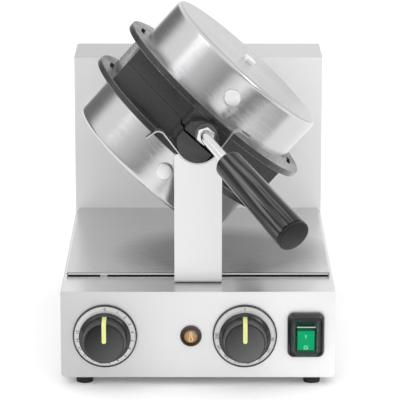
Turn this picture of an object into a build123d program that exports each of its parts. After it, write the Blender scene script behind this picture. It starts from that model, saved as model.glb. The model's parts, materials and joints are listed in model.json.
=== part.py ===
from build123d import *
import os
from math import cos, degrees, radians, sin, sqrt

os.makedirs("parts", exist_ok=True)

# Bubble waffle maker: a turning pair of round pans on a countertop housing.
# Bench frame: X to the right, Y from the front panel to the back, Z up, Z = 0 on the counter.

# Base housing
base_width = 305.0
base_depth = 473.0
base_height = 98.5
sheet = 1.2
base_top_radius = 2.0
base_bottom_radius = 5.0
lip_past_foot = 2.0
foot_height = 9.0
foot_radius = 9.0
foot_top_radius = 10.5
foot_side_inset = 25.5
foot_front_inset = 16.0
foot_rear_inset = 24.0
panel_fit = 0.3

# Raised tray on the base
tray_front = 68.0
tray_side_inset = 4.0
tray_height = 4.3
tray_sheet = 1.3
tray_corner = 1.0
tray_tab_from_side = 41.8
tray_tab_width = 8.3
tray_tab_setback = 0.8

# Rear housing
rear_depth = 95.5
rear_height = 194.5
rear_corner_radius = 3.0
rear_top_radius = 1.5
wire_window_depth = 50.0
wire_window_side = 62.5
back_panel_side_inset = 12.0
back_panel_end_inset = 6.0
back_panel_corner = 4.0
back_screw_inset = 4.0
back_screw_head = 2.2
back_window_side = 20.0
back_window_end = 14.0
vent_count = 7
vent_length = 90.0
vent_width = 4.0
vent_pitch = 12.0
vents_above_edge = 40.0

# Turning axis and pans
pan_tilt = 42.0
axis_height = 162.2
pan_centre_from_front = 179.0
parting_gap = 0.3
half_height = 23.5
flange_thickness = 7.3
flange_radius = 128.0
flange_edge = 0.8
block_half_width = 107.0
block_corner = 48.0
block_front = 97.0
front_pad_half_width = 25.0
pocket_radius = 13.2
pocket_depth = 12.0
pocket_pitch = 28.4
pocket_rings = 3
pocket_field = 80.0
pocket_sides = 8
plate_recess_radius = 92.0
plate_recess_depth = 1.5
slot_radius = 113.0
slot_width = 5.0
slot_half_angle = 7.5

# Drum covers
cover_radius = 105.0
cover_height = 55.0
cover_wall = 1.2
cover_edge_radius = 5.0
cover_inner_chamfer = 3.0
side_bolt_height = 25.5
bolt_head_radius = 9.5
bolt_head_height = 5.5
bolt_shank_radius = 3.0
centre_bolt_head_radius = 8.0
clip_width = 22.0
clip_sheet = 2.0
clip_foot = 16.0

# Heating rings
heater_inner_radius = 58.0
heater_outer_radius = 80.0
heater_thickness = 8.0
terminal_radius = 3.0
terminal_height = 14.0
terminal_angle = 8.0

# Front hub and its cradle
post_front = 35.0
post_width = 53.0
post_depth = 13.5
post_sheet = 1.5
post_foot_radius = 7.5
post_top_above_base = 148.3
post_corner_radius = 4.0
hub_front = 33.5
hub_radius = 23.6
hub_relief = 20.8
hub_parting_relief = 1.1
hub_length = 19.5
cradle_clearance = 0.4
strap_thickness = 1.5
strap_front = 34.5
strap_width = 13.5
strap_seat = 0.1
strap_arm_angle = 37.0
curl_radius = 8.0
curl_peak_above_axis = 11.6
curl_turn = 88.0
curl_tip_length = 11.0

# Handle
rod_radius = 6.0
rod_offset = 12.5
nut_across_flats = 18.0
nut_thickness = 10.0
washer_radius = 12.0
washer_thickness = 2.5
rod_straight = 9.5
rod_bend_radius = 14.0
handle_azimuth = 46.0
handle_rise = 1.2
grip_start = 43.0
grip_length = 128.5
grip_near_radius = 16.0
grip_far_radius = 18.6
grip_shoulder = 6.0
rod_in_grip = 70.0
cap_gap = 1.0
cap_thickness = 5.0
cap_spigot_radius = 10.0
cap_spigot_length = 8.0

# Rear axle and hinge
boss_half_width = 22.0
boss_half_height = 19.5
boss_end = 124.0
axle_radius = 14.0
axle_bore = 9.0
axle_seat = 22.0
axle_end_in_housing = 62.0
hinge_pin_y = 120.0
hinge_pin_height = 39.0
hinge_pin_radius = 4.0
hinge_clearance = 0.05
barrel_radius = 7.6
barrel_half_length = 21.7
ear_thickness = 8.0
ear_gap = 0.3
ear_half_depth = 9.0
ear_bottom = -16.0
ear_bolt_radius = 3.0
ear_bolt_head = 5.0
ear_bolt_grip = 6.0
notch_clearance = 1.5
ear_bolt_heights = (-9.0, 8.0)

# Rear bearing
bearing_flange_radius = 32.0
bearing_flange_thickness = 9.0
bearing_bolt_circle = 25.0
bush_radius = 18.0
bush_end = 12.0
bearing_bore_clearance = 0.05
collar_radius = 22.0
collar_thickness = 12.0
collar_gap = 0.5
stop_reach = 29.0
stop_lug_half_width = 4.0
stop_pin_radius = 3.0
stop_clearance = 0.3
turn_range = 180.0

# Controls, seen from the front
knob_above_base = 48.2
timer_from_left = 49.1
thermostat_from_right = 100.7
bezel_radius = 35.8
bezel_thickness = 3.0
scale_radius = 32.6
scale_thickness = 0.5
bezel_recess = 1.2
knob_skirt_radius = 28.5
knob_skirt_thickness = 3.0
knob_root_radius = 26.3
knob_face_radius = 22.4
knob_proud = 32.0
knob_edge = 1.5
knob_gap = 0.6
pointer_width = 4.6
pointer_proud = 1.0
pointer_depth = 3.0
pointer_tail = 1.0
pointer_short = 2.5
shaft_in_knob = 20.0
shaft_radius = 3.0
shaft_clearance = 0.05
shaft_hole = 5.0
control_body = (46.0, 40.0, 50.0)
lamp_from_left = 144.5
lamp_radius = 12.0
lamp_lens_radius = 8.6
lamp_rim = 4.0
lamp_lens_proud = 5.0
lamp_body_radius = 8.0
lamp_body_length = 30.0
switch_from_right = 33.0
switch_above_base = 49.2
switch_frame_size = (41.0, 49.0)
switch_frame_proud = 8.5
switch_corner = 6.0
switch_window = (28.4, 37.4)
switch_cover_proud = 14.5
switch_cover_wall = 0.9
switch_cover_gap = 0.2
rocker_size = (19.6, 25.0)
rocker_angle = 7.0
rocker_proud = 9.5
rocker_pivot_depth = -2.0
rocker_pivot_radius = 2.0
switch_body_size = (26.0, 36.0, 28.0)
rocker_cavity_gap = 1.2

# Cable inlet at the back of the base
gland_from_left = 57.5
gland_above_base = 38.0
gland_radius = 11.0
gland_bore = 4.5
gland_length = 20.0
gland_inside = 12.0

base_bottom = foot_height
bottom_lip = max(foot_side_inset, foot_rear_inset) + foot_top_radius + lip_past_foot
base_top = foot_height + base_height
knob_height = base_bottom + knob_above_base
switch_z = base_bottom + switch_above_base
gland_z = base_bottom + gland_above_base
knob_x = (timer_from_left - base_width / 2, base_width / 2 - thermostat_from_right)
lamp_x = lamp_from_left - base_width / 2
switch_x = base_width / 2 - switch_from_right
gland_x = gland_from_left - base_width / 2
rear_face = base_depth - rear_depth
axis_z = base_top + axis_height
flange_top = half_height + flange_thickness
cover_top = flange_top + cover_height
hub_front_y = hub_front - pan_centre_from_front
hub_rear_y = hub_front_y + hub_length
housing_y = rear_face - pan_centre_from_front
ear_bolt_y = (hinge_pin_y - ear_half_depth + boss_end) / 2
collar_start = housing_y + sheet + bush_end + collar_gap

pan_place = Location(
    Plane(
        origin=(0, pan_centre_from_front, axis_z),
        x_dir=(cos(radians(pan_tilt)), 0, -sin(radians(pan_tilt))),
        z_dir=(sin(radians(pan_tilt)), 0, cos(radians(pan_tilt))),
    )
)

made = {}


def keep(name, *solids):
    """Remembers the solids of one named piece, in the bench frame."""
    made[name] = list(solids)


def keep_on_pan(name, *solids):
    """The same for a piece built in the pans' own frame: X across, Y back, Z square to the parting."""
    made[name] = [pan_place * solid for solid in solids]


def block(x0, x1, y0, y1, z0, z1):
    """A box between two corners."""
    return Pos((x0 + x1) / 2, (y0 + y1) / 2, (z0 + z1) / 2) * Box(x1 - x0, y1 - y0, z1 - z0)


def rod_z(radius, z0, z1, x=0.0, y=0.0):
    """A cylinder along Z."""
    return Pos(x, y, (z0 + z1) / 2) * Cylinder(radius, z1 - z0)


def rod_y(radius, y0, y1, x=0.0, z=0.0):
    """A cylinder along Y."""
    return Pos(x, (y0 + y1) / 2, z) * Rot(90, 0, 0) * Cylinder(radius, y1 - y0)


def rod_x(radius, x0, x1, y=0.0, z=0.0):
    """A cylinder along X."""
    return Pos((x0 + x1) / 2, y, z) * Rot(0, 90, 0) * Cylinder(radius, x1 - x0)


def hexagon_y(across_flats, y0, y1, x=0.0, z=0.0):
    """A hexagonal prism along Y."""
    profile = RegularPolygon(across_flats / 2, 6, major_radius=False)
    return Pos(x, y1, z) * Rot(90, 0, 0) * extrude(profile, y1 - y0)


def turned_y(points, x=0.0, z=0.0):
    """A turned shape on an axis along Y, from pairs of radius and distance towards the front."""
    face = make_face(Polyline(points, close=True))
    return Pos(x, 0, z) * Rot(90, 0, 0) * revolve(Plane.XZ * face, Axis.Z)


def flat_outline(points, z0, z1):
    """A polygon drawn in X and Y, extruded along Z."""
    face = make_face(Polyline(points, close=True))
    return Pos(0, 0, z0) * extrude(face, z1 - z0)


def rounded_plate(width, height, radius, y0, y1, x=0.0, z=0.0):
    """A plate with rounded corners that faces the front."""
    profile = RectangleRounded(width, height, radius)
    return Pos(x, y1, z) * Rot(90, 0, 0) * extrude(profile, y1 - y0)


def mirrored(solid):
    """The lower half's copy of a piece of the upper half."""
    return mirror(solid, about=Plane.XY)


# Base housing and what stands on it


def base_section(y0, y1, inset=0.0):
    """The base's cross-section between two planes: small radii above, larger bends below."""
    half = base_width / 2 - inset
    solid = block(-half, half, y0, y1, base_bottom + inset, base_top - inset)
    solid = fillet(solid.edges().filter_by(Axis.Y).group_by(Axis.Z)[-1], base_top_radius - inset)
    return fillet(solid.edges().filter_by(Axis.Y).group_by(Axis.Z)[0], base_bottom_radius - inset)


def base_shell():
    """One folded sheet: top and sides, turned in underneath to a broad lip all round."""
    half = base_width / 2
    shell = base_section(sheet, base_depth - sheet) - base_section(sheet, base_depth - sheet, sheet)
    shell -= block(
        -half + bottom_lip, half - bottom_lip, bottom_lip, base_depth - bottom_lip,
        base_bottom - 1, base_bottom + sheet + 1,
    )
    middle = rear_face + rear_depth / 2
    window = base_width - 2 * wire_window_side
    return shell - block(
        -window / 2, window / 2, middle - wire_window_depth / 2, middle + wire_window_depth / 2,
        base_top - sheet - 1, base_top + 1,
    )


def base_front():
    """The front panel, welded to the end of the folded sheet, with the holes for the controls."""
    panel = base_section(0, sheet)
    for x in knob_x:
        panel -= rod_y(shaft_hole, -1, sheet + 1, x, knob_height)
    panel -= rod_y(lamp_body_radius, -1, sheet + 1, lamp_x, knob_height)
    wide, tall, _ = switch_body_size
    return panel - block(
        switch_x - wide / 2, switch_x + wide / 2, -1, sheet + 1,
        switch_z - tall / 2, switch_z + tall / 2,
    )


def base_back():
    """The base's back panel, with the hole for the cable inlet."""
    panel = base_section(base_depth - sheet, base_depth)
    return panel - rod_y(gland_radius - 2, base_depth - sheet - 1, base_depth + 1, gland_x, gland_z)


def bottom_plate():
    """The plate that closes the base from inside, resting on the turned-in lip, with vent slots."""
    half = base_width / 2 - sheet - panel_fit - (base_bottom_radius - sheet)
    low = base_bottom + sheet
    plate = block(
        -half, half, sheet + panel_fit, base_depth - sheet - panel_fit, low, low + sheet
    )
    for i in range(vent_count):
        y = base_depth / 2 + (i - (vent_count - 1) / 2) * vent_pitch
        plate -= block(
            -vent_length / 2, vent_length / 2, y - vent_width / 2, y + vent_width / 2,
            low - 1, low + sheet + 1,
        )
    return plate


def feet():
    """Four rubber feet, tapered towards the counter, under the turned-in lip's corners."""
    x = base_width / 2 - foot_side_inset
    rows = (foot_front_inset, base_depth - foot_rear_inset)
    for y in rows:
        for foot_x in (-x, x):
            yield Pos(foot_x, y, foot_height / 2) * Cone(foot_radius, foot_top_radius, foot_height)


def tray():
    """The raised top plate: its sides are folded down to the base and its front edge stands free."""
    half = base_width / 2 - tray_side_inset
    high = base_top + tray_height
    plate = block(-half, half, tray_front, rear_face, base_top, high)
    plate = fillet(plate.edges().filter_by(Axis.Y).group_by(Axis.Z)[-1], tray_corner)
    plate -= block(
        -half + tray_sheet, half - tray_sheet, tray_front - 1, rear_face + 1,
        base_top - 1, high - tray_sheet,
    )
    tab = -half + tray_tab_from_side
    front = tray_front + tray_tab_setback
    return plate + block(
        tab - tray_tab_width / 2, tab + tray_tab_width / 2, front, front + tray_sheet,
        base_top, high - tray_sheet / 2,
    )


def rear_housing():
    """The deep splash guard behind the pans: a folded box, open at the back and underneath."""
    half = base_width / 2
    top = base_top + rear_height
    back = base_depth
    outer = block(-half, half, rear_face, back, base_top, top)
    outer = fillet(outer.edges().filter_by(Axis.Z).group_by(Axis.Y)[-1], rear_corner_radius)
    outer = fillet(outer.faces().sort_by(Axis.Z)[-1].edges().group_by(Axis.Y)[0], rear_top_radius)
    inner = block(
        -half + sheet, half - sheet, rear_face + sheet, back - sheet, base_top - 1, top - sheet
    )
    inner = fillet(
        inner.edges().filter_by(Axis.Z).group_by(Axis.Y)[-1], rear_corner_radius - sheet
    )
    shell = outer - inner
    window = block(
        -half + back_window_side, half - back_window_side, back - sheet - 1, back + 1,
        base_top + back_window_end, top - back_window_end,
    )
    return shell - window - rod_y(bush_radius, rear_face - 1, rear_face + sheet + 1, 0, axis_z)


def rear_cover():
    """The screwed-on back panel with its row of vent slots."""
    half = base_width / 2 - back_panel_side_inset
    low, high = base_top + back_panel_end_inset, base_top + rear_height - back_panel_end_inset
    plate = block(-half, half, base_depth, base_depth + sheet, low, high)
    plate = fillet(plate.edges().filter_by(Axis.Y), back_panel_corner)
    for i in range(vent_count):
        z = low + vents_above_edge + i * vent_pitch
        plate -= block(
            -vent_length / 2, vent_length / 2, base_depth - 1, base_depth + sheet + 1,
            z - vent_width / 2, z + vent_width / 2,
        )
    return plate


def rear_cover_screws():
    """Six hexagon screws at the edge of the back panel."""
    half = base_width / 2 - back_panel_side_inset - back_screw_inset
    low = base_top + back_panel_end_inset + back_screw_inset
    high = base_top + rear_height - back_panel_end_inset - back_screw_inset
    for x in (-half, half):
        for z in (low, (low + high) / 2, high):
            yield hexagon_y(7.0, base_depth + sheet, base_depth + sheet + back_screw_head, x, z)


def front_post():
    """A channel folded from sheet, with its top edge cut to the cradle and its foot turned back."""
    half = post_width / 2
    top = base_top + post_top_above_base
    back = post_front + post_depth
    outer = block(-half, half, post_front, back, base_top, top)
    outer = fillet(outer.edges().filter_by(Axis.Y).group_by(Axis.Z)[-1], post_corner_radius)
    outer = fillet(
        outer.edges().filter_by(Axis.X).group_by(Axis.Z)[0].sort_by(Axis.Y)[0], post_foot_radius
    )
    inner = block(
        -half + post_sheet, half - post_sheet, post_front + post_sheet, back + 1,
        base_top + post_sheet, top + 1,
    )
    inner = fillet(
        inner.edges().filter_by(Axis.X).group_by(Axis.Z)[0].sort_by(Axis.Y)[0],
        post_foot_radius - post_sheet,
    )
    strap_outside = hub_radius + cradle_clearance + strap_thickness + strap_seat
    post = outer - inner - rod_y(strap_outside, post_front - 1, back + 1, 0, axis_z)
    return post.solids().sort_by(SortBy.VOLUME)[-1]


def cradle_points():
    """The strap's centre line, right half: the arc under the hub, an arm, the curl and its tip."""
    middle = hub_radius + cradle_clearance + strap_thickness / 2
    arm = radians(strap_arm_angle)
    start = Vector(middle * cos(arm), -middle * sin(arm))
    curl_start_z = curl_peak_above_axis - curl_radius + curl_radius * sin(arm)
    length = (curl_start_z - start.Y) / cos(arm)
    bend = start + Vector(sin(arm), cos(arm)) * length
    centre = bend + Vector(cos(arm), -sin(arm)) * curl_radius
    return middle, start, bend, centre


def cradle_strap():
    """One steel strip: an arc under the hub, two sloping arms and two curled ends."""
    middle, start, bend, centre = cradle_points()
    arm = strap_arm_angle
    curl = CenterArc(centre, curl_radius, 180 - arm, -curl_turn)
    heading = radians(180 - arm - curl_turn - 90)
    tip = (curl @ 1) + Vector(cos(heading), sin(heading)) * curl_tip_length
    right = [Line(start, bend), curl, Line(curl @ 1, tip)]
    left = [mirror(piece, about=Plane.YZ) for piece in right]
    under = CenterArc((0, 0), middle, -180 + arm, 180 - 2 * arm)
    strip = trace(Curve() + [under, *right, *left], strap_thickness)
    return Pos(0, strap_front + strap_width, axis_z) * Rot(90, 0, 0) * extrude(strip, strap_width)


# Pans, built level in their own frame


def ring_points(pitch, rings):
    """Centres of a triangular pattern of pockets, ring by ring from the middle."""
    points = [(0.0, 0.0)]
    for ring in range(1, rings + 1):
        for side in range(6):
            a, b = radians(60 * side), radians(60 * (side + 2))
            for step in range(ring):
                points.append(
                    (
                        pitch * (ring * cos(a) + step * cos(b)),
                        pitch * (ring * sin(a) + step * sin(b)),
                    )
                )
    return [(x, y) for x, y in points if x * x + y * y < pocket_field**2]


def pocket(x, y):
    """One bubble pocket as a many-sided bowl that opens at the parting face."""
    levels = ((1.0, 0.0), (0.86, 0.5), (0.45, 0.9))
    low = parting_gap / 2 + plate_recess_depth
    rims = []
    for share, depth in levels:
        outline = RegularPolygon(pocket_radius * share, pocket_sides)
        rims.append(Pos(x, y, low + depth * pocket_depth) * outline)
    bowl = loft(rims[:2], ruled=True) + loft(rims[1:], ruled=True)
    mouth = Pos(x, y, low - 0.2) * extrude(RegularPolygon(pocket_radius, pocket_sides), 0.2)
    return bowl + mouth


def pan_casting():
    """The upper pan's casting: a six-sided block, a round flange, a front pad and half a hub."""
    low = parting_gap / 2
    front = block_front
    w, c, p = block_half_width, block_corner, front_pad_half_width
    outline = [(-w, -c), (-p, -front), (p, -front), (w, -c), (w, c), (p, front), (-p, front), (-w, c)]
    body = flat_outline(outline, low, half_height)
    body = fillet(body.edges().filter_by(Axis.Z), 2.0)
    flange = rod_z(flange_radius, half_height, flange_top)
    flange = chamfer(flange.edges().filter_by(GeomType.CIRCLE), flange_edge)
    foot = low + hub_parting_relief
    pad = block(-p, p, hub_rear_y, -front + 4, foot, half_height + 0.5)
    hub = rod_y(hub_radius, hub_front_y, hub_rear_y + 0.5) & block(
        -hub_relief, hub_relief, hub_front_y - 1, hub_rear_y + 1, foot, hub_radius + 1
    )
    casting = body + flange + pad + hub
    casting -= rod_z(plate_recess_radius, 0, low + plate_recess_depth)
    return casting


def curved_slot(angle):
    """A slot along the flange beside the drum."""
    outer = slot_radius + slot_width / 2
    inner = slot_radius - slot_width / 2
    ring = rod_z(outer, half_height - 1, flange_top + 1) - rod_z(inner, half_height - 2, flange_top + 2)
    reach = flange_radius + 10
    spread = reach * sin(radians(slot_half_angle)) / cos(radians(slot_half_angle))
    wedge = flat_outline(
        [(0, 0), (reach, -spread), (reach, spread)], half_height - 1, flange_top + 1
    )
    return Rot(0, 0, angle) * (ring & wedge)


def pan_half():
    """One pan with its slots and bubble pockets."""
    pan = pan_casting() - curved_slot(-2) - curved_slot(177)
    pockets = [pocket(x, y) for x, y in ring_points(pocket_pitch, pocket_rings)]
    return pan - pockets


def upper_plate():
    """The upper pan: notched for the hinge ears and threaded for the handle."""
    pan = pan_half()
    ear_inside = boss_half_width + ear_gap - notch_clearance
    ear_outside = boss_half_width + ear_gap + ear_thickness + notch_clearance
    start = hinge_pin_y - ear_half_depth - notch_clearance - 1
    for side in (-1, 1):
        xs = sorted((side * ear_inside, side * ear_outside))
        pan -= block(*xs, start, flange_radius + 1, half_height - 1, flange_top + 1)
    pan -= block(
        -ear_inside - 1, ear_inside + 1, boss_end, flange_radius + 1, half_height - 1, flange_top + 1
    )
    return pan - rod_y(rod_radius, hub_front_y - 1, hub_rear_y, 0, rod_offset)


def lower_plate():
    """The lower pan, with the full-height boss that holds the axle and the hinge ears."""
    pan = mirrored(pan_half())
    w, h = boss_half_width, boss_half_height
    boss = block(-w, w, block_front - 3, boss_end, -h, h)
    pan += chamfer(boss.edges().filter_by(Axis.Y), 3.0)
    pan -= block(-w - 1, w + 1, block_front - 4, block_front + 0.6, parting_gap / 2 - 0.3, h + 1)
    for z in ear_bolt_heights:
        for side in (-1, 1):
            xs = sorted((side * (boss_half_width - ear_bolt_grip), side * 60))
            pan -= rod_x(ear_bolt_radius, *xs, ear_bolt_y, z)
    return pan - rod_y(axle_radius, boss_end - axle_seat, boss_end + 1)


def drum_cover():
    """A spun steel cup over the heating ring, bolted at the front, the back and the middle."""
    outer = rod_z(cover_radius, flange_top, cover_top)
    outer = fillet(outer.edges().filter_by(GeomType.CIRCLE).sort_by(Axis.Z)[-1], cover_edge_radius)
    inner = rod_z(cover_radius - cover_wall, flange_top - 1, cover_top - cover_wall)
    inner = chamfer(
        inner.edges().filter_by(GeomType.CIRCLE).sort_by(Axis.Z)[-1], cover_inner_chamfer
    )
    cover = outer - inner
    bolt_z = flange_top + side_bolt_height
    reach = cover_radius + 1
    cover -= rod_y(bolt_shank_radius, -reach, reach, 0, bolt_z)
    return cover - rod_z(bolt_shank_radius, cover_top - 5, cover_top + 1)


def heating_ring():
    """A flat ring element clamped on the pan's back, with its two terminals."""
    z0 = flange_top
    ring = rod_z(heater_outer_radius, z0, z0 + heater_thickness)
    ring -= rod_z(heater_inner_radius, z0 - 1, z0 + heater_thickness + 1)
    middle = (heater_inner_radius + heater_outer_radius) / 2
    for side in (-1, 1):
        angle = radians(90 + side * terminal_angle)
        x, y = middle * cos(angle), middle * sin(angle)
        top = z0 + heater_thickness
        ring += rod_z(terminal_radius, top - 1, top + terminal_height, x, y)
    return ring


def cover_clips():
    """Two angle clips inside the drum, front and back, that the side bolts screw into."""
    top = flange_top + side_bolt_height + clip_foot / 2
    wall = cover_radius - cover_wall - 0.6
    edge = sqrt(wall**2 - (clip_width / 2) ** 2)
    for side in (-1, 1):
        ys = sorted((side * edge, side * (edge - clip_sheet)))
        upright = block(-clip_width / 2, clip_width / 2, *ys, flange_top, top)
        ys = sorted((side * edge, side * (edge - clip_foot)))
        foot = block(-clip_width / 2, clip_width / 2, *ys, flange_top, flange_top + clip_sheet)
        shank = rod_y(bolt_shank_radius, -cover_radius, cover_radius, 0, flange_top + side_bolt_height)
        yield upright + foot - shank


def domed_head(radius, height):
    """A low domed head standing on Z = 0, turned in three steps."""
    rim = 0.35 * height
    shoulder = 0.8 * height
    outline = [
        (0, 0), (radius, 0), (radius, rim), (0.72 * radius, shoulder), (0.3 * radius, height), (0, height),
    ]
    profile = Polyline(outline, close=True)
    return revolve(Plane.XZ * make_face(profile), Axis.Z)


def cover_bolts():
    """The two side bolts and the middle bolt of one drum."""
    z = flange_top + side_bolt_height
    shank = 9.0
    for side in (-1, 1):
        head = domed_head(bolt_head_radius, bolt_head_height)
        pin = rod_z(bolt_shank_radius, -shank, 0.5)
        bolt = Rot(-side * 90, 0, 0) * (head + pin)
        yield Pos(0, side * cover_radius, z) * bolt
    pin = rod_z(bolt_shank_radius, -cover_height, 0.5)
    yield Pos(0, 0, cover_top) * (domed_head(centre_bolt_head_radius, bolt_head_height) + pin)


# Handle, on the upper pan


def handle_points():
    """The rod's bend and the direction of the grip, in the pans' frame."""
    bend = Vector(
        0, hub_front_y - washer_thickness - nut_thickness - rod_straight, rod_offset
    )
    azimuth, rise = radians(handle_azimuth), radians(handle_rise)
    way = Vector(cos(rise) * cos(azimuth), -cos(rise) * sin(azimuth), sin(rise))
    return bend, way


def grip_plane(distance):
    """A plane square to the grip, at a distance from the rod's bend."""
    bend, way = handle_points()
    return Plane(origin=bend + way * distance, z_dir=way)


def handle_rod():
    """The steel rod: straight through the nut, one bend, then into the grip."""
    bend, way = handle_points()
    start = Vector(0, hub_rear_y - 1, rod_offset)
    end = bend + way * (grip_start + rod_in_grip)
    path = FilletPolyline(start, bend, end, radius=rod_bend_radius)
    section = Plane(origin=start, z_dir=(0, -1, 0)) * Circle(rod_radius)
    return sweep(section, path=path)


def handle_nut():
    y1 = hub_front_y - washer_thickness
    return hexagon_y(nut_across_flats, y1 - nut_thickness, y1, 0, rod_offset) - rod_y(
        rod_radius, y1 - nut_thickness - 1, y1 + 1, 0, rod_offset
    )


def handle_washer():
    ring = rod_y(washer_radius, hub_front_y - washer_thickness, hub_front_y, 0, rod_offset)
    return ring - rod_y(rod_radius, hub_front_y - washer_thickness - 1, hub_front_y + 1, 0, rod_offset)


def handle_grip():
    """A smooth grip that widens towards its end, with a rounded shoulder and a bore for the rod."""
    corner = (grip_near_radius, 0)
    face = make_face(
        Polyline((0, 0), corner, (grip_far_radius, grip_length), (0, grip_length), close=True)
    )
    face = fillet(face.vertices().sort_by_distance(corner)[0], grip_shoulder)
    grip = revolve(Plane.XZ * face, Axis.Z)
    grip -= rod_z(rod_radius, -1, rod_in_grip)
    grip -= rod_z(cap_spigot_radius, grip_length - cap_spigot_length, grip_length + 1)
    return Location(grip_plane(grip_start)) * grip


def grip_cap():
    """The round end cap, with a spigot pressed into the grip."""
    cap = rod_z(grip_far_radius, cap_gap, cap_gap + cap_thickness)
    cap = chamfer(cap.edges().filter_by(GeomType.CIRCLE).sort_by(Axis.Z)[-1], 1.5)
    cap += rod_z(cap_spigot_radius, -cap_spigot_length, cap_gap + 0.5)
    return Location(grip_plane(grip_start + grip_length)) * cap


# Hinge and axle at the back of the pans


def hinge_ear(side):
    """A cheek bolted to the boss that carries one end of the hinge pin."""
    x0 = boss_half_width
    xs = sorted((side * x0, side * (x0 + ear_gap + ear_thickness)))
    low, high = hinge_pin_y - ear_half_depth, hinge_pin_y + ear_half_depth
    ear = block(*xs, low, boss_end, ear_bottom, boss_half_height - 4)
    xs = sorted((side * (x0 + ear_gap), side * (x0 + ear_gap + ear_thickness)))
    ear += block(*xs, low, high, boss_half_height - 5, hinge_pin_height)
    ear += rod_x(ear_half_depth, *xs, hinge_pin_y, hinge_pin_height)
    ear -= rod_x(hinge_pin_radius, -60, 60, hinge_pin_y, hinge_pin_height)
    for z in ear_bolt_heights:
        ear -= rod_x(ear_bolt_radius, -60, 60, ear_bolt_y, z)
    return ear


def ear_bolts():
    """Four hexagon bolts, two through each ear into the boss."""
    outside = boss_half_width + ear_gap + ear_thickness
    for side in (-1, 1):
        for z in ear_bolt_heights:
            head = hexagon_y(2 * ear_bolt_head, 0, 4)
            head = Rot(0, 0, -side * 90) * head
            xs = sorted((side * (boss_half_width - ear_bolt_grip), side * (outside + 1)))
            shank = rod_x(ear_bolt_radius, *xs, ear_bolt_y, z)
            yield Pos(side * outside, ear_bolt_y, z) * head + shank


def hinge_pin():
    """The pin through both ears and the lid's barrel, with a head at each end."""
    reach = boss_half_width + ear_gap + ear_thickness
    pin = rod_x(hinge_pin_radius, -reach - 0.5, reach + 0.5, hinge_pin_y, hinge_pin_height)
    for side in (-1, 1):
        xs = sorted((side * reach, side * (reach + 3)))
        pin += rod_x(hinge_pin_radius + 2.5, *xs, hinge_pin_y, hinge_pin_height)
    return pin


def lid_hinge_bracket():
    """The lid's half of the hinge: a foot on the upper flange and a barrel round the pin."""
    half = barrel_half_length
    foot = block(-half, half, cover_radius + 1, boss_end, flange_top, flange_top + 4)
    barrel = rod_x(barrel_radius, -half, half, hinge_pin_y, hinge_pin_height)
    near, far = hinge_pin_y - barrel_radius + 0.6, hinge_pin_y + barrel_radius - 3.5
    web = block(-half, half, near, far, flange_top, hinge_pin_height)
    bore = rod_x(hinge_pin_radius + hinge_clearance, -60, 60, hinge_pin_y, hinge_pin_height)
    return foot + barrel + web - bore


def rear_axle():
    """The hollow axle that carries both pans and lets the wires through."""
    tube = rod_y(axle_radius, boss_end - axle_seat, housing_y + axle_end_in_housing)
    return tube - rod_y(axle_bore, boss_end - axle_seat - 1, housing_y + axle_end_in_housing + 1)


def bearing_flange():
    """The round bearing housing bolted to the front of the rear housing."""
    face = rear_face - bearing_flange_thickness
    body = rod_y(bearing_flange_radius, face, rear_face, 0, axis_z)
    body = chamfer(body.edges().filter_by(GeomType.CIRCLE).sort_by(Axis.Y)[0], 2.0)
    return body - rod_y(bush_radius, face - 1, rear_face + 1, 0, axis_z)


def bearing_bush():
    """The bush that the axle turns in, through the housing's front sheet."""
    start = rear_face - bearing_flange_thickness
    end = rear_face + sheet + bush_end
    ring = rod_y(bush_radius, start, end, 0, axis_z)
    return ring - rod_y(axle_radius + bearing_bore_clearance, start - 1, end + 1, 0, axis_z)


def bearing_bolts():
    for i in range(4):
        angle = radians(45 + 90 * i)
        x = bearing_bolt_circle * cos(angle)
        z = axis_z + bearing_bolt_circle * sin(angle)
        y = rear_face - bearing_flange_thickness
        yield hexagon_y(8.0, y - 3.5, y, x, z)


def stop_spread():
    """The angle from the lug's middle to a stop pin's middle when the two meet."""
    reach = (collar_radius + stop_reach) / 2
    return degrees((stop_lug_half_width + stop_pin_radius + stop_clearance) / reach)


def axle_collar():
    """The clamp ring inside the housing, with the lug that stops the turn, in the pans' frame."""
    end = collar_start + collar_thickness
    ring = rod_y(collar_radius, collar_start, end)
    lug = stop_lug_half_width
    ring += block(-lug, lug, collar_start, end, collar_radius - 4, stop_reach)
    return ring - rod_y(axle_radius, collar_start - 1, end + 1)


def stop_bracket():
    """The plate on the inside of the front sheet with the two pins that end the turn."""
    y0 = rear_face + sheet
    plate = rod_y(stop_reach + 8, y0, y0 + 3, 0, axis_z)
    plate -= rod_y(bush_radius, y0 - 1, y0 + 4, 0, axis_z)
    ceiling = base_top + rear_height - sheet - panel_fit
    plate -= block(-60, 60, y0 - 1, y0 + 4, ceiling, ceiling + 60)
    pin_circle = (collar_radius + stop_reach) / 2 + 1
    lug_at_rest = 90 - pan_tilt
    first = lug_at_rest + pan_tilt + stop_spread()
    second = lug_at_rest + pan_tilt - turn_range - stop_spread()
    for angle in (first, second):
        x = pin_circle * cos(radians(angle))
        z = axis_z + pin_circle * sin(radians(angle))
        pin_end = rear_face + sheet + bush_end + collar_gap + collar_thickness
        plate += rod_y(stop_pin_radius, y0 + 2, pin_end, x, z)
    return plate


# Controls on the front panel


def knob_bezel(x):
    """The black ring behind a knob, with a shallow seat for its scale."""
    ring = rod_y(bezel_radius, -bezel_thickness, 0, x, knob_height)
    ring = chamfer(ring.edges().filter_by(GeomType.CIRCLE).sort_by(Axis.Y)[0], 1.2)
    ring -= rod_y(scale_radius, -bezel_thickness - 1, -bezel_thickness + bezel_recess, x, knob_height)
    return ring - rod_y(shaft_hole, -bezel_thickness - 1, 1, x, knob_height)


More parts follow.
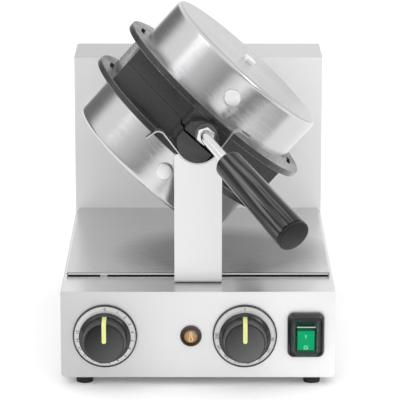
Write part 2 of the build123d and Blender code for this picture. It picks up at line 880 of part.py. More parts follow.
def knob_scale(x):
    """The thin metal ring that carries the scale."""
    y1 = -bezel_thickness + bezel_recess
    ring = rod_y(scale_radius, y1 - scale_thickness, y1, x, knob_height)
    return ring - rod_y(shaft_hole, y1 - scale_thickness - 1, y1 + 1, x, knob_height)


def knob_back():
    """How far the knob's back stands in front of the panel."""
    return bezel_thickness - bezel_recess + scale_thickness + knob_gap


def pointer_bar():
    """The bar on the knob: up its face from the middle, over the edge and back along the barrel."""
    foot = knob_back() + knob_skirt_thickness + pointer_short
    lean = (knob_root_radius - knob_face_radius) / (knob_proud - foot)
    outside = knob_face_radius + pointer_proud
    outline = [
        (-knob_proud - pointer_proud, -pointer_tail),
        (-knob_proud - pointer_proud, outside - knob_edge),
        (-knob_proud - pointer_proud + knob_edge, outside),
        (-foot, outside + lean * (knob_proud - foot)),
        (-foot, knob_root_radius - pointer_depth),
        (-knob_proud + pointer_depth, knob_face_radius - pointer_depth),
        (-knob_proud + pointer_depth, -pointer_tail),
    ]
    bar = extrude(Plane.YZ * make_face(Polyline(outline, close=True)), pointer_width)
    bar = Pos(-pointer_width / 2, 0, 0) * bar
    return fillet(bar.edges().filter_by(Axis.Y).group_by(Axis.Z)[0], pointer_width * 0.45)


def knob(x):
    """A turned knob: a thin skirt, a tapered barrel and a flat face, with a seat for its pointer."""
    back = knob_back()
    skirt_end = back + knob_skirt_thickness
    body = turned_y(
        [
            (0, back), (knob_skirt_radius, back), (knob_skirt_radius, skirt_end - 1),
            (knob_skirt_radius - 1, skirt_end), (knob_root_radius, skirt_end),
            (knob_face_radius + 0.2, knob_proud - knob_edge), (knob_face_radius - knob_edge, knob_proud),
            (0, knob_proud),
        ]
    )
    body -= pointer_bar()
    body -= rod_y(shaft_radius, -shaft_in_knob, 1)
    return Pos(x, 0, knob_height) * body


def knob_pointer(x):
    """The coloured bar, seated in the knob."""
    return Pos(x, 0, knob_height) * pointer_bar()


def knob_shaft(x):
    return rod_y(shaft_radius, -shaft_in_knob, sheet + 14, x, knob_height)


def control_block(x):
    """The timer's or thermostat's own case behind the panel, with a bearing for its shaft."""
    wide, deep, tall = control_body
    middle = knob_height + 2
    case = block(
        x - wide / 2, x + wide / 2, sheet, sheet + deep, middle - tall / 2 + 6, middle + tall / 2 - 6
    )
    return case - rod_y(shaft_radius + shaft_clearance, 0, sheet + 16, x, knob_height)


def lamp_bezel():
    ring = rod_y(lamp_radius, -lamp_rim, 0, lamp_x, knob_height)
    ring = chamfer(ring.edges().filter_by(GeomType.CIRCLE).sort_by(Axis.Y)[0], 1.5)
    return ring - rod_y(lamp_lens_radius, -lamp_rim - 1, 1, lamp_x, knob_height)


def lamp_lens():
    head = domed_head(lamp_lens_radius, lamp_lens_proud)
    return Pos(lamp_x, 0, knob_height) * Rot(90, 0, 0) * head


def lamp_body():
    return rod_y(lamp_body_radius, 0, lamp_body_length, lamp_x, knob_height)


def switch_frame():
    """The thick surround of the main switch."""
    wide, tall = switch_frame_size
    frame = rounded_plate(wide, tall, switch_corner, -switch_frame_proud, 0, switch_x, switch_z)
    front = frame.faces().sort_by(Axis.Y)[0]
    frame = chamfer(front.edges(), 2.0)
    wide, tall = switch_window
    return frame - rounded_plate(wide, tall, 3.5, -switch_frame_proud - 1, 1, switch_x, switch_z)


def switch_splash_cover():
    """The clear soft cover over the rocker, a thin box with rounded corners, open at the back."""
    wide = switch_window[0] - 2 * switch_cover_gap
    tall = switch_window[1] - 2 * switch_cover_gap
    outer = rounded_plate(wide, tall, 3.3, -switch_cover_proud, -0.3, switch_x, switch_z)
    outer = chamfer(outer.faces().sort_by(Axis.Y)[0].edges(), 1.2)
    wall = switch_cover_wall
    inner = rounded_plate(
        wide - 2 * wall, tall - 2 * wall, 2.4, -switch_cover_proud + wall, 1, switch_x, switch_z
    )
    return outer - inner


def rocker_profile(grow=0.0):
    """The rocker's side outline, Y then Z from its pivot, a shallow V facing the front."""
    half = rocker_size[1] / 2 + grow
    front = -(rocker_proud + rocker_pivot_depth) - grow
    dip = front + 1.2
    return [(6 + grow, -half + 2), (6 + grow, half - 2), (front, half), (dip, 0), (front, -half)]


def rocker_pivot_y():
    return -rocker_pivot_depth


def switch_rocker():
    """The see-through green rocker on its pivot, at rest in the off position."""
    wide = rocker_size[0]
    face = make_face(Polyline(rocker_profile(), close=True))
    body = Pos(-wide / 2, 0, 0) * extrude(Plane.YZ * face, wide)
    body = fillet(body.edges().filter_by(Axis.X).group_by(Axis.Y)[0], 0.8)
    body += rod_x(rocker_pivot_radius, -wide / 2 - 1.5, wide / 2 + 1.5)
    return Pos(switch_x, rocker_pivot_y(), switch_z) * Rot(rocker_angle, 0, 0) * body


def switch_body():
    """The switch's case behind the panel, with the cavity and bearing for the rocker."""
    wide, tall, deep = switch_body_size
    case = block(
        switch_x - wide / 2, switch_x + wide / 2, 0, deep, switch_z - tall / 2, switch_z + tall / 2
    )
    half = rocker_size[0] / 2 + rocker_cavity_gap / 2
    high = rocker_size[1] / 2 + rocker_cavity_gap + 1.0
    case -= block(
        switch_x - half, switch_x + half, -1, rocker_pivot_y() + 8.5, switch_z - high, switch_z + high
    )
    pin = rocker_pivot_radius + shaft_clearance
    ends = rocker_size[0] / 2 + 1.7
    return case - rod_x(pin, switch_x - ends, switch_x + ends, rocker_pivot_y(), switch_z)


def terminal_block():
    """The mains terminal block on the bottom plate, five poles in a row."""
    low = base_bottom + 2 * sheet
    body = block(gland_x - 5, gland_x + 45, base_depth - 70, base_depth - 50, low, low + 14)
    for i in range(5):
        x = gland_x + i * 10
        body += block(x - 3, x + 3, base_depth - 66, base_depth - 54, low + 13, low + 20)
    return body


def cable_gland():
    """The cable inlet: a clamping nut outside the back panel and a lock nut inside."""
    body = hexagon_y(2 * gland_radius, base_depth, base_depth + 6, gland_x, gland_z)
    body += rod_y(gland_radius - 2, base_depth + 5, base_depth + gland_length, gland_x, gland_z)
    body += rod_y(gland_radius - 2, base_depth - gland_inside, base_depth + 1, gland_x, gland_z)
    body += hexagon_y(2 * gland_radius, base_depth - sheet - 5, base_depth - sheet, gland_x, gland_z)
    inside, outside = base_depth - gland_inside - 1, base_depth + gland_length + 1
    return body - rod_y(gland_bore, inside, outside, gland_x, gland_z)


# All pieces, by body

keep("base_shell", base_shell())
keep("base_front", base_front())
keep("base_back", base_back())
keep("bottom_plate", bottom_plate())
keep("feet", *feet())
keep("tray", tray())
keep("rear_housing", rear_housing())
keep("rear_cover", rear_cover())
keep("rear_cover_screws", *rear_cover_screws())
keep("front_post", front_post())
keep("cradle_strap", cradle_strap())
keep("bearing_flange", bearing_flange())
keep("bearing_bush", bearing_bush())
keep("bearing_bolts", *bearing_bolts())
keep("stop_bracket", stop_bracket())
keep("terminal_block", terminal_block())
keep("cable_gland", cable_gland())

for label, x in zip(("timer", "thermostat"), knob_x):
    keep(f"{label}_bezel", knob_bezel(x))
    keep(f"{label}_scale", knob_scale(x))
    keep(f"{label}_body", control_block(x))
    keep(f"{label}_knob", knob(x))
    keep(f"{label}_pointer", knob_pointer(x))
    keep(f"{label}_shaft", knob_shaft(x))
keep("lamp_bezel", lamp_bezel())
keep("lamp_lens", lamp_lens())
keep("lamp_body", lamp_body())
keep("switch_frame", switch_frame())
keep("switch_splash_cover", switch_splash_cover())
keep("switch_rocker", switch_rocker())
keep("switch_body", switch_body())

keep_on_pan("lower_plate", lower_plate())
keep_on_pan("upper_plate", upper_plate())
cover, ring = drum_cover(), heating_ring()
clips, bolts = list(cover_clips()), list(cover_bolts())
keep_on_pan("upper_cover", cover)
keep_on_pan("upper_heater", ring)
keep_on_pan("upper_cover_clips", *clips)
keep_on_pan("upper_cover_bolts", *bolts)
keep_on_pan("lower_cover", mirrored(cover))
keep_on_pan("lower_heater", mirrored(ring))
keep_on_pan("lower_cover_clips", *[mirrored(clip) for clip in clips])
keep_on_pan("lower_cover_bolts", *[mirrored(bolt) for bolt in bolts])
keep_on_pan("handle_rod", handle_rod())
keep_on_pan("handle_nut", handle_nut())
keep_on_pan("handle_washer", handle_washer())
keep_on_pan("handle_grip", handle_grip())
keep_on_pan("grip_cap", grip_cap())
keep_on_pan("hinge_ear_left", hinge_ear(-1))
keep_on_pan("hinge_ear_right", hinge_ear(1))
keep_on_pan("ear_bolts", *ear_bolts())
keep_on_pan("hinge_pin", hinge_pin())
keep_on_pan("lid_hinge_bracket", lid_hinge_bracket())
keep_on_pan("rear_axle", rear_axle())
keep_on_pan("axle_collar", axle_collar())

# The origin moves to the middle of the whole outline, on the counter.

everything = Compound(children=[solid.solids()[0] for solids in made.values() for solid in solids])
box = everything.bounding_box()
to_origin = Pos(-(box.min.X + box.max.X) / 2, -(box.min.Y + box.max.Y) / 2, 0)

for name, solids in made.items():
    pieces = [to_origin * piece for solid in solids for piece in solid.solids()]
    export_step(pieces[0] if len(pieces) == 1 else Compound(children=pieces), f"parts/{name}.step")


def told(label, point):
    """Prints a place in metres, measured from the origin."""
    moved = to_origin * Pos(*point)
    place = moved.position
    print(label, [round(v / 1000, 5) for v in (place.X, place.Y, place.Z)])


def pan_point(x, y, z):
    return (pan_place * Pos(x, y, z)).position


print("box", box.size, "moved by", to_origin.position)
told("pan_rotation", (0, pan_centre_from_front, axis_z))
told("lid_hinge", pan_point(0, hinge_pin_y, hinge_pin_height))
print("across the pans", [round(v, 6) for v in (cos(radians(pan_tilt)), 0, -sin(radians(pan_tilt)))])
told("timer_turn", (knob_x[0], 0, knob_height))
told("thermostat_turn", (knob_x[1], 0, knob_height))
told("rocker_tilt", (switch_x, rocker_pivot_y(), switch_z))
told("foot_front_left", (-base_width / 2 + foot_side_inset, foot_front_inset, 0))
told("foot_rear_right", (base_width / 2 - foot_side_inset, base_depth - foot_rear_inset, 0))
told("cable_gland", (gland_x, base_depth + gland_length / 2, gland_z))
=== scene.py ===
# %% [markdown]
# # Bubble waffle maker
# A pair of round pans turns on a level axis above a steel base and opens on a hinge at the back.
# The solids come ready made, in metres. This notebook gives each one the finish of the real piece,
# and builds again the pieces whose roundness, edges or markings show up close.

# %% Load the solids
import json
import math
from functools import partial

import bmesh
import bpy
from mathutils import Matrix, Vector


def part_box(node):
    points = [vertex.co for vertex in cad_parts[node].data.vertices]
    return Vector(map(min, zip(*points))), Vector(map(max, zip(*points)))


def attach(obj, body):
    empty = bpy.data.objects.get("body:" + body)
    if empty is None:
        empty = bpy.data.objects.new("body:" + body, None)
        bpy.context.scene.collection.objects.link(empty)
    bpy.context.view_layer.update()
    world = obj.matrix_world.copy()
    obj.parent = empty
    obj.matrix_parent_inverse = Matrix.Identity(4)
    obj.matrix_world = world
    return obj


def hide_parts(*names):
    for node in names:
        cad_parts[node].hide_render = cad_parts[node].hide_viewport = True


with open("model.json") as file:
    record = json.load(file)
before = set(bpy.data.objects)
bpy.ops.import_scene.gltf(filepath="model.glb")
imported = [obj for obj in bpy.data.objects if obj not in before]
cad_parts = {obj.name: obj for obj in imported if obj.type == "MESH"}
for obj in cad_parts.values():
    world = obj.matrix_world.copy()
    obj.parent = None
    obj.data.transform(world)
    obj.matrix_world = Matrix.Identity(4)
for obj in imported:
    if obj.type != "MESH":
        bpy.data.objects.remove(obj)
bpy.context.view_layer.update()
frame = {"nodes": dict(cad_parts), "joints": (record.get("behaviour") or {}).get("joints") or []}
MM = 0.001
print("pieces loaded:", len(frame["nodes"]))

# %% [markdown]
# ## Two ways of naming a place
# The base is square to the room, but the pans lean by 42 degrees. It is easiest to draw the pans'
# pieces level, in their own frame, and to lean them over in one step with a matrix. Its columns
# come from the two joints: the turning axis and the hinge pin are both part of the solids.

# %% The pans' own frame
right, back, up = Vector((1, 0, 0)), Vector((0, 1, 0)), Vector((0, 0, 1))
joints = {joint["name"]: joint for joint in frame["joints"]}
pan_centre = Vector(joints["pan_rotation"]["pos_m"])
across = Vector(joints["lid_hinge"]["axis"]).normalized()
along = Vector(joints["pan_rotation"]["axis"]).normalized()
lift = across.cross(along)


def frame_matrix(origin, x_axis, y_axis, z_axis):
    """A matrix that moves things drawn at the origin to a place with its own three directions."""
    turn = Matrix((x_axis, y_axis, z_axis)).transposed().to_4x4()
    return Matrix.Translation(origin) @ turn


pan_frame = frame_matrix(pan_centre, across, along, lift)
panel_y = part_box("base_front")[0].y
print("the pans lean by", round(math.degrees(math.acos(lift.z)), 1), "degrees")


def toward_front(x, z, y=panel_y):
    """A frame on the front panel whose Z axis points at the user and whose Y axis points up."""
    return frame_matrix(Vector((x, y, z)), right, up, -back)


# %% [markdown]
# ## Small tools for making pieces
# A lathe makes most of the round pieces: a list of radius and height pairs is spun about an axis.
# A Screw modifier could do that too, but a function can close the poles and take a new profile each
# time. Profiles are in millimetres, as a turner would have them.

# %% Turning and joining
def lathe(profile, steps=128):
    """Spins (radius, height) pairs about Z. Nought is a pole; the first pair again closes a ring."""
    bm = bmesh.new()
    rings = []
    for radius, height in profile:
        if rings and (radius, height) == profile[0]:
            rings.append(rings[0])
            continue
        corners = 1 if radius == 0 else steps
        turns = [math.tau * step / corners for step in range(corners)]
        rings.append([bm.verts.new((
            radius * math.cos(turn) * MM, radius * math.sin(turn) * MM, height * MM)) for turn in turns])
    for low, high in zip(rings, rings[1:]):
        for step in range(steps):
            corners = dict.fromkeys((low[step % len(low)], low[(step + 1) % len(low)],
                                     high[(step + 1) % len(high)], high[step % len(high)]))
            if len(corners) > 2:
                bm.faces.new(list(corners))
    bmesh.ops.recalc_face_normals(bm, faces=bm.faces)
    return bm


def rounded(corner, start, end, radius, steps=6):
    """Points of a round corner between two straight runs of a profile."""
    corner, start, end = (Vector(p).to_2d() for p in (corner, start, end))
    to_start, to_end = (start - corner).normalized(), (end - corner).normalized()
    half = to_start.angle(to_end) / 2
    reach = radius / math.tan(half)
    centre = corner + (to_start + to_end).normalized() * radius / math.sin(half)
    first, last = corner + to_start * reach - centre, corner + to_end * reach - centre
    turn = first.angle_signed(last)
    return [tuple(centre + Matrix.Rotation(-turn * step / steps, 2) @ first) for step in range(steps + 1)]


def bridge(bm, first, second):
    """A closed band of faces between two loops with the same number of corners."""
    for i in range(len(first)):
        j = (i + 1) % len(first)
        bm.faces.new((first[i], first[j], second[j], second[i]))


def block(low, high):
    """A plain box between two corners, in metres."""
    bm = bmesh.new()
    bmesh.ops.create_cube(bm, size=1.0)
    low, high = Vector(low), Vector(high)
    bmesh.ops.scale(bm, vec=high - low, verts=bm.verts)
    bmesh.ops.translate(bm, vec=(low + high) / 2, verts=bm.verts)
    return bm


def joined(parts):
    """Several bmeshes as one."""
    whole = bmesh.new()
    for part in parts:
        scrap = bpy.data.meshes.new("scrap")
        part.to_mesh(scrap)
        part.free()
        whole.from_mesh(scrap)
        bpy.data.meshes.remove(scrap)
    return whole


# %% [markdown]
# Every piece ends the same way, so one helper applies its place to the mesh, smooths what is round
# and keeps sharp what is folded, gives it its finish, and fixes it to the body that it moves with.
# A loaded solid is loose triangles, so a copy of it is merged before its edges are rolled over.

# %% Placing and softening
finish = {}


def linked(name, data):
    """A new object in the scene."""
    thing = bpy.data.objects.new(name, data)
    bpy.context.scene.collection.objects.link(thing)
    return thing


def put_in_scene(name, bm, look, body, place=None, stands_for=(), sharp=35.0):
    """Turns a bmesh into a finished piece that rides on a body."""
    if place is not None:
        bm.transform(place)
    mesh = bpy.data.meshes.new(name)
    bm.to_mesh(mesh)
    bm.free()
    mesh.shade_smooth()
    mesh.set_sharp_from_angle(angle=math.radians(sharp))
    piece = linked(name, mesh)
    mesh.materials.append(finish[look])
    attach(piece, body)
    if stands_for:
        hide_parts(*stands_for)
    return piece


def softened(node, name, look, body, edge, sharp=32.0, place=None):
    """A loaded solid again, with its sharp edges rolled over by a small radius, given in mm."""
    bm = bmesh.new()
    bm.from_mesh(frame["nodes"][node].data)
    bmesh.ops.remove_doubles(bm, verts=bm.verts, dist=1e-6)
    bmesh.ops.dissolve_limit(bm, angle_limit=math.radians(0.5), verts=bm.verts, edges=bm.edges)
    piece = put_in_scene(name, bm, look, body, place, (node,), sharp)
    bevel = piece.modifiers.new("rolled edges", "BEVEL")
    bevel.width = edge * MM
    bevel.segments = 2
    bevel.limit_method = "ANGLE"
    bevel.angle_limit = math.radians(40)
    bevel.harden_normals = True
    return piece


# %% [markdown]
# ## Wiring nodes
# Shaders, the world and Geometry Nodes are all trees of nodes. Wiring them line by line hides what
# they do, so small helpers read like sentences: a node is made with its settings and inputs, and
# sums are written as plus, minus and times. A socket knows its tree, so that needn't be said again.

# %% Helpers for trees
def feed(node, values):
    """Gives each input a plain value, or a link from each socket that is meant for it."""
    for label, value in values.items():
        for source in value if isinstance(value, list) else [value]:
            if isinstance(source, bpy.types.NodeSocket):
                node.id_data.links.new(source, node.inputs[label])
            else:
                node.inputs[label].default_value = source


def add_node(tree, kind, values=(), **settings):
    """Makes a node with its settings and its inputs, and gives back its outputs."""
    node = tree.nodes.new(kind)
    for label, value in settings.items():
        setattr(node, label, value)
    feed(node, dict(values))
    return node.outputs


def tree_of(*values):
    """The tree of the first socket among some sockets and numbers."""
    return next(value.id_data for value in values if isinstance(value, bpy.types.NodeSocket))


def calc(operation, a, b=0.0):
    """The result of a Math node on two sockets or numbers."""
    return add_node(tree_of(a, b), "ShaderNodeMath", {0: a, 1: b}, operation=operation)[0]


def vector(**parts):
    """A vector from its parts X, Y and Z, sockets or numbers; a missing one is nought."""
    return add_node(tree_of(*parts.values()), "ShaderNodeCombineXYZ", parts)[0]


plus, minus, times, sine, cosine = (
    partial(calc, operation) for operation in ("ADD", "SUBTRACT", "MULTIPLY", "SINE", "COSINE"))


def clamped(value):
    """A number kept between nought and one."""
    return add_node(value.id_data, "ShaderNodeClamp", {"Value": value})[0]


def object_place(tree):
    """Where a point lies on its own piece, in metres."""
    return add_node(tree, "ShaderNodeTexCoord")["Object"]


def new_tree(kind, name, inputs, outputs):
    """An empty tree with named sockets; an input's first value also decides its type."""
    tree = bpy.data.node_groups.new(name, kind)
    for label, value in inputs.items():
        what = {int: "Int", float: "Float"}.get(type(value)) or ("Color" if len(value) == 4 else "Vector")
        socket = tree.interface.new_socket(name=label, in_out="INPUT", socket_type="NodeSocket" + what)
        socket.default_value = value
    for label, what in outputs.items():
        tree.interface.new_socket(name=label, in_out="OUTPUT", socket_type="NodeSocket" + what)
    return tree, tree.nodes.new("NodeGroupInput").outputs, tree.nodes.new("NodeGroupOutput")


# %% [markdown]
# ## Shared effects
# Brushed and spun steel, the pans' coating and moulded plastic all have small irregularities.
# An image of scratches would blur up close, so noise makes them. Each effect is a node group, so
# that a finish can use it with its own scale and depth.

# %% Noise, relief and shade
def noise(place, scale, detail=2.0):
    """Soft noise about one half."""
    return add_node(place.id_data, "ShaderNodeTexNoise", {
        "Vector": place, "Scale": scale, "Detail": detail})["Fac"]


def relief(depth, height):
    """The normal of a surface with relief of under half a millimetre."""
    return add_node(height.id_data, "ShaderNodeBump", {
        "Distance": 0.4 * MM, "Strength": depth, "Height": height})["Normal"]


def shaded(colour, tone):
    """A colour made lighter or darker by a tone."""
    return add_node(tone.id_data, "ShaderNodeVectorMath", {0: colour, "Scale": tone}, operation="SCALE")[0]


# %% Brushing: fine parallel scratches, from noise that a finish stretches along one direction
brushing, given, leave = new_tree(
    "ShaderNodeTree", "brushing",
    {"Vector": (0.0, 0.0, 0.0), "Fineness": 900.0, "Contrast": 0.1, "Roughness": 0.3, "Depth": 0.05},
    {"Roughness": "Float", "Tone": "Float", "Normal": "Vector"})
scratch = noise(given["Vector"], given["Fineness"], 3.0)
cloud = noise(object_place(brushing), 9.0)
both = plus(minus(scratch, 0.5), times(minus(cloud, 0.5), 0.6))
swing = times(both, given["Contrast"])
feed(leave, {
    "Roughness": plus(given["Roughness"], swing), "Tone": plus(times(swing, -0.5), 1.0),
    "Normal": relief(given["Depth"], scratch)})

# %% Grain: round noise that changes colour, gloss and height a little
grain, given, leave = new_tree(
    "ShaderNodeTree", "grain",
    {"Scale": 900.0, "Colour": (0.1, 0.1, 0.1, 1.0), "Contrast": 0.3, "Roughness": 0.5, "Depth": 0.2},
    {"Colour": "Color", "Roughness": "Float", "Normal": "Vector"})
fine, wide = noise(object_place(grain), given["Scale"], 4.0), noise(object_place(grain), 25.0)
swing = times(minus(plus(fine, wide), 1.0), given["Contrast"])
feed(leave, {
    "Colour": shaded(given["Colour"], plus(swing, 1.0)),
    "Roughness": plus(given["Roughness"], times(swing, 0.4)),
    "Normal": relief(given["Depth"], fine)})

# %% [markdown]
# ## How a finish is made
# Stainless sheet is brushed in one direction, and the spun drums in circles about their own axis.
# A Mapping node turns and stretches the coordinates, so that the same noise becomes long scratches.
# Some finishes also carry painted light and shade: slow changes of tone that stand in for the room's
# reflections and the fall of light. They are kept as soft ramps along a direction or round a point of the
# piece, so they stay put when the camera moves.

# %% Metal
def new_finish(key, name):
    """A material with only a Principled shader, kept under a short key."""
    material = finish[key] = bpy.data.materials.new(name)
    material.use_nodes = True
    return material.node_tree, material.node_tree.nodes["Principled BSDF"]


def ramp(value, start, end, first, last):
    """A number that goes from first to last while a value goes from start to end."""
    return add_node(value.id_data, "ShaderNodeMapRange", {
        "Value": value, "From Min": start, "From Max": end, "To Min": first, "To Max": last})["Result"]


def toned(operation, tree, place, *span):
    """A tone that goes from first to last between a start and an end, as in ramp."""
    value = add_node(tree, "ShaderNodeVectorMath", {0: object_place(tree), 1: place}, operation=operation)
    return ramp(value["Value"], *span)


# Painted light and shade: one tone changes along a direction, the other with the distance from a point
tone_along, tone_round = partial(toned, "DOT_PRODUCT"), partial(toned, "DISTANCE")


def brushed_steel(key, name, grey, roughness, stretch, contrast, depth, metallic=1.0,
                  slope=None, spot=None):
    """Metal with scratches, short across the stretch; slope and spot paint light and shade as a tone that
    changes with the place.
    """
    tree, shader = new_finish(key, name)
    mapping = add_node(tree, "ShaderNodeMapping", {"Vector": object_place(tree), "Scale": stretch})
    surface = add_node(tree, "ShaderNodeGroup", {
        "Vector": mapping[0], "Fineness": 2600.0, "Contrast": contrast, "Roughness": roughness,
        "Depth": depth}, node_tree=brushing)
    tone = surface["Tone"]
    if slope:
        tone = times(tone, tone_along(tree, *slope))
    if spot:
        tone = times(tone, tone_round(tree, *spot))
    feed(shader, {
        "Base Color": shaded((grey, grey, grey), tone), "Roughness": surface["Roughness"],
        "Normal": surface["Normal"], "Metallic": metallic})


# %% Cast, plated and moulded
def grained(key, name, colour, roughness, scale, contrast, depth, metallic=0.0, coat=0.0,
            coat_roughness=0.08, shine=0.5, slope=None):
    """A cast, moulded or plated surface with fine grain; a slope paints light and shade as a tone across it.
    """
    tree, shader = new_finish(key, name)
    surface = add_node(tree, "ShaderNodeGroup", {
        "Scale": scale, "Colour": (*colour, 1), "Contrast": contrast, "Roughness": roughness,
        "Depth": depth}, node_tree=grain)
    own = surface["Colour"]
    feed(shader, {
        "Base Color": shaded(own, tone_along(tree, *slope)) if slope else own,
        "Roughness": surface["Roughness"], "Normal": surface["Normal"], "Metallic": metallic,
        "Specular IOR Level": shine, "Coat Weight": coat, "Coat Roughness": coat_roughness})


# %% The finishes of the steel sheet
housing_low, housing_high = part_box("rear_housing")
lengthwise, upright = (0.012, 1.0, 1.0), (1.0, 1.0, 0.012)
brushed_steel("sheet", "brushed stainless sheet", 0.78, 0.24, lengthwise, 0.05, 0.02)
# The front panel is darker towards its left end: painted shade.
brushed_steel("panel", "satin front panel", 0.94, 0.34, lengthwise, 0.04, 0.015, 0.5,
              slope=(right, -0.152, 0.100, 0.63, 1.04))
# The tray is darker round a point near its middle: a painted reflection of the dark pans above it.
brushed_steel("tray", "brushed tray plate", 0.68, 0.16, lengthwise, 0.06, 0.4,
              spot=((0.030, -0.030, 0.111), 0.080, 0.135, 0.36, 1.0))
# The housing's top face is darker (painted shade), and its sheet grows lighter away from a point at its
# upper left (painted light).
brushed_steel("wall", "satin housing sheet", 0.88, 0.45, lengthwise, 0.06, 0.03, 0.35,
              (up, housing_high.z - 0.9 * MM, housing_high.z - 0.7 * MM, 1.0, 0.62),
              ((-0.15, housing_low.y, 0.27), 0.10, 0.25, 0.92, 1.12))
brushed_steel("post", "satin stainless post", 0.84, 0.30, upright, 0.04, 0.03, 0.5)

# %% The other finishes
for recipe in (
    # key, name, colour, roughness, grain's scale, contrast and depth, metallic, coat and its roughness
    ("strap", "spring steel strap", (0.62, 0.62, 0.63), 0.28, 600.0, 0.1, 0.03, 1.0),
    ("burnt", "heat-darkened steel", (0.030, 0.028, 0.027), 0.35, 600.0, 0.3, 0.05, 0.7),
    ("bolt", "bright bolt heads", (0.88, 0.88, 0.88), 0.32, 600.0, 0.05, 0.02, 0.45),
    ("washer", "dull steel washer", (0.13, 0.13, 0.13), 0.42, 700.0, 0.5, 0.15, 0.7),
    ("plated", "plated steel", (0.78, 0.78, 0.79), 0.16, 600.0, 0.06, 0.02, 1.0),
    ("cast", "dark coated casting", (0.013, 0.013, 0.014), 0.32, 650.0, 3.0, 0.5, 0.0, 0.5, 0.25),
    ("ground", "ground edge", (0.50, 0.50, 0.51), 0.25, 600.0, 0.2, 0.05, 1.0),
    ("rubber", "black rubber", (0.018, 0.018, 0.018), 0.7, 900.0, 0.3, 0.2),
    ("scale", "satin scale plate", (0.92, 0.92, 0.92), 0.5, 900.0, 0.05, 0.02, 0.2),
    ("ink", "printed numbers", (0.03, 0.03, 0.03), 0.5, 900.0, 0.1, 0.0),
    ("yellow", "yellow pointer", (0.76, 0.79, 0.30), 0.4, 900.0, 0.08, 0.03),
    ("peach", "pale printed mark", (0.95, 0.76, 0.56), 0.4, 900.0, 0.05, 0.0),
    ("prism", "bright prism edges", (0.58, 0.34, 0.12), 0.2, 600.0, 0.3, 0.02),
    ("mark", "pale marks on the rocker", (0.36, 0.95, 0.66), 0.4, 900.0, 0.05, 0.0),
    ("glint", "thick clear edge", (0.42, 0.52, 0.50), 0.2, 300.0, 0.7, 0.02),
    ("case", "moulded case", (0.20, 0.19, 0.17), 0.5, 900.0, 0.2, 0.1),
    ("heater", "oxidised heating ring", (0.10, 0.095, 0.09), 0.6, 700.0, 0.3, 0.2, 0.6),
    ("bronze", "bronze bush", (0.50, 0.36, 0.18), 0.35, 700.0, 0.1, 0.05, 1.0),
):
    grained(*recipe)
grained("black", "black moulding", (0.012, 0.012, 0.013), 0.3, 1800.0, 0.25, 0.06, shine=0.3)
grained("gloss", "glossy black moulding", (0.010, 0.010, 0.011), 0.20, 1800.0, 0.25, 0.04, shine=0.8)
grained("green", "green rocker", (0.0, 0.42, 0.16), 0.5, 900.0, 0.1, 0.03, shine=0.1)
print("finishes:", len(finish))

# %% [markdown]
# ## Pieces that keep their solids
# Many solids already have the right shape, such as the small pan-head screws of the back panel.
# They only need a finish on their material slot.

# %% Plain assignment
plain = {
    "sheet": "bottom_plate rear_cover stop_bracket upper_cover_clips lower_cover_clips",
    "plated": "bearing_bolts ear_bolts hinge_pin axle_collar timer_shaft thermostat_shaft rear_cover_screws",
    "bronze": "bearing_bush",
    "heater": "upper_heater lower_heater",
    "case": "timer_body thermostat_body lamp_body terminal_block",
    "black": "switch_body cable_gland",
    "rubber": "feet",
}
for key, nodes in plain.items():
    for node in nodes.split():
        slots = frame["nodes"][node].data.materials
        slots.clear()
        slots.append(finish[key])
print("solids kept:", sum(len(nodes.split()) for nodes in plain.values()))

# %% [markdown]
# ## Folded sheet
# A folded sheet never has a knife edge: the bend and the cut both have a small radius, and that is
# of what catches the light. The edges could be modelled by hand, but a Bevel modifier rolls the edges
# of a copy of each solid and keeps its true size. The tray's front edge is folded back into a hem, which
# carries the brighter bolt finish as a painted highlight line.

# %% Base, tray, housing, post and cradle
for node, name, look, edge in (
        ("base_shell", "base", "sheet", 0.6), ("base_front", "front_panel", "panel", 0.6),
        ("base_back", "back_panel", "sheet", 0.6), ("tray", "tray_plate", "tray", 0.55)):
    softened(node, name, look, "frame", edge)
tray_low, tray_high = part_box("tray")
# The hem has the brighter bolt finish: a painted highlight along the tray's front edge.
hem_highlight = block((tray_low.x, tray_low.y, tray_low.z + 1.5 * MM),
            (tray_high.x, tray_low.y + 1.0 * MM, tray_high.z - 0.6 * MM))
put_in_scene("tray_hem_highlight", hem_highlight, "bolt", "frame")
softened("rear_housing", "housing", "wall", "frame", 0.7)
softened("front_post", "post", "post", "frame", 0.4)
cradle = softened("cradle_strap", "cradle", "strap", "frame", 0.3)
# The strap's two ends are made darker than its middle.
cradle.data.materials.append(finish["burnt"])
plain_middle_half_width = 50 * MM
for face in cradle.data.polygons:
    if abs(face.center.x) > plain_middle_half_width:
        face.material_index = 1
softened("bearing_flange", "bearing_housing", "plated", "frame", 0.4)
print("tray width", round((tray_high.x - tray_low.x) / MM, 1), "mm")

# %% [markdown]
# ## The two castings and what is bolted to them
# Both pans are cast and coated dark. A bright line along each flange's edge is a painted highlight.
# It could be a second material on the casting, but the solid has no faces of that width, so a
# hair-thin bright ring lies on it.

# %% Castings and hinge
for node, name, look, body, slot, edge in (
        ("upper_plate", "upper_pan", "cast", "lid", "cast_pan", 0.7),
        ("lower_plate", "lower_pan", "cast", "lower_pan", "cast_pan", 0.7),
        ("hinge_ear_left", "left_ear", "plated", "lower_pan", "plated_steel", 0.5),
        ("hinge_ear_right", "right_ear", "plated", "lower_pan", "plated_steel", 0.5),
        ("lid_hinge_bracket", "lid_bracket", "plated", "lid", "plated_steel", 0.5),
        ("rear_axle", "axle", "plated", "lower_pan", "plated_steel", 0.5)):
    softened(node, name, look, body, edge)


# %% Painted highlight rings on the flange edges
def box_in_pan_frame(node):
    """The lowest and highest corner of a node, measured in the pans' own frame."""
    level = pan_frame.inverted()
    points = [level @ v.co for v in frame["nodes"][node].data.vertices]
    return [Vector([pick(p[i] for p in points) for i in range(3)]) for pick in (min, max)]


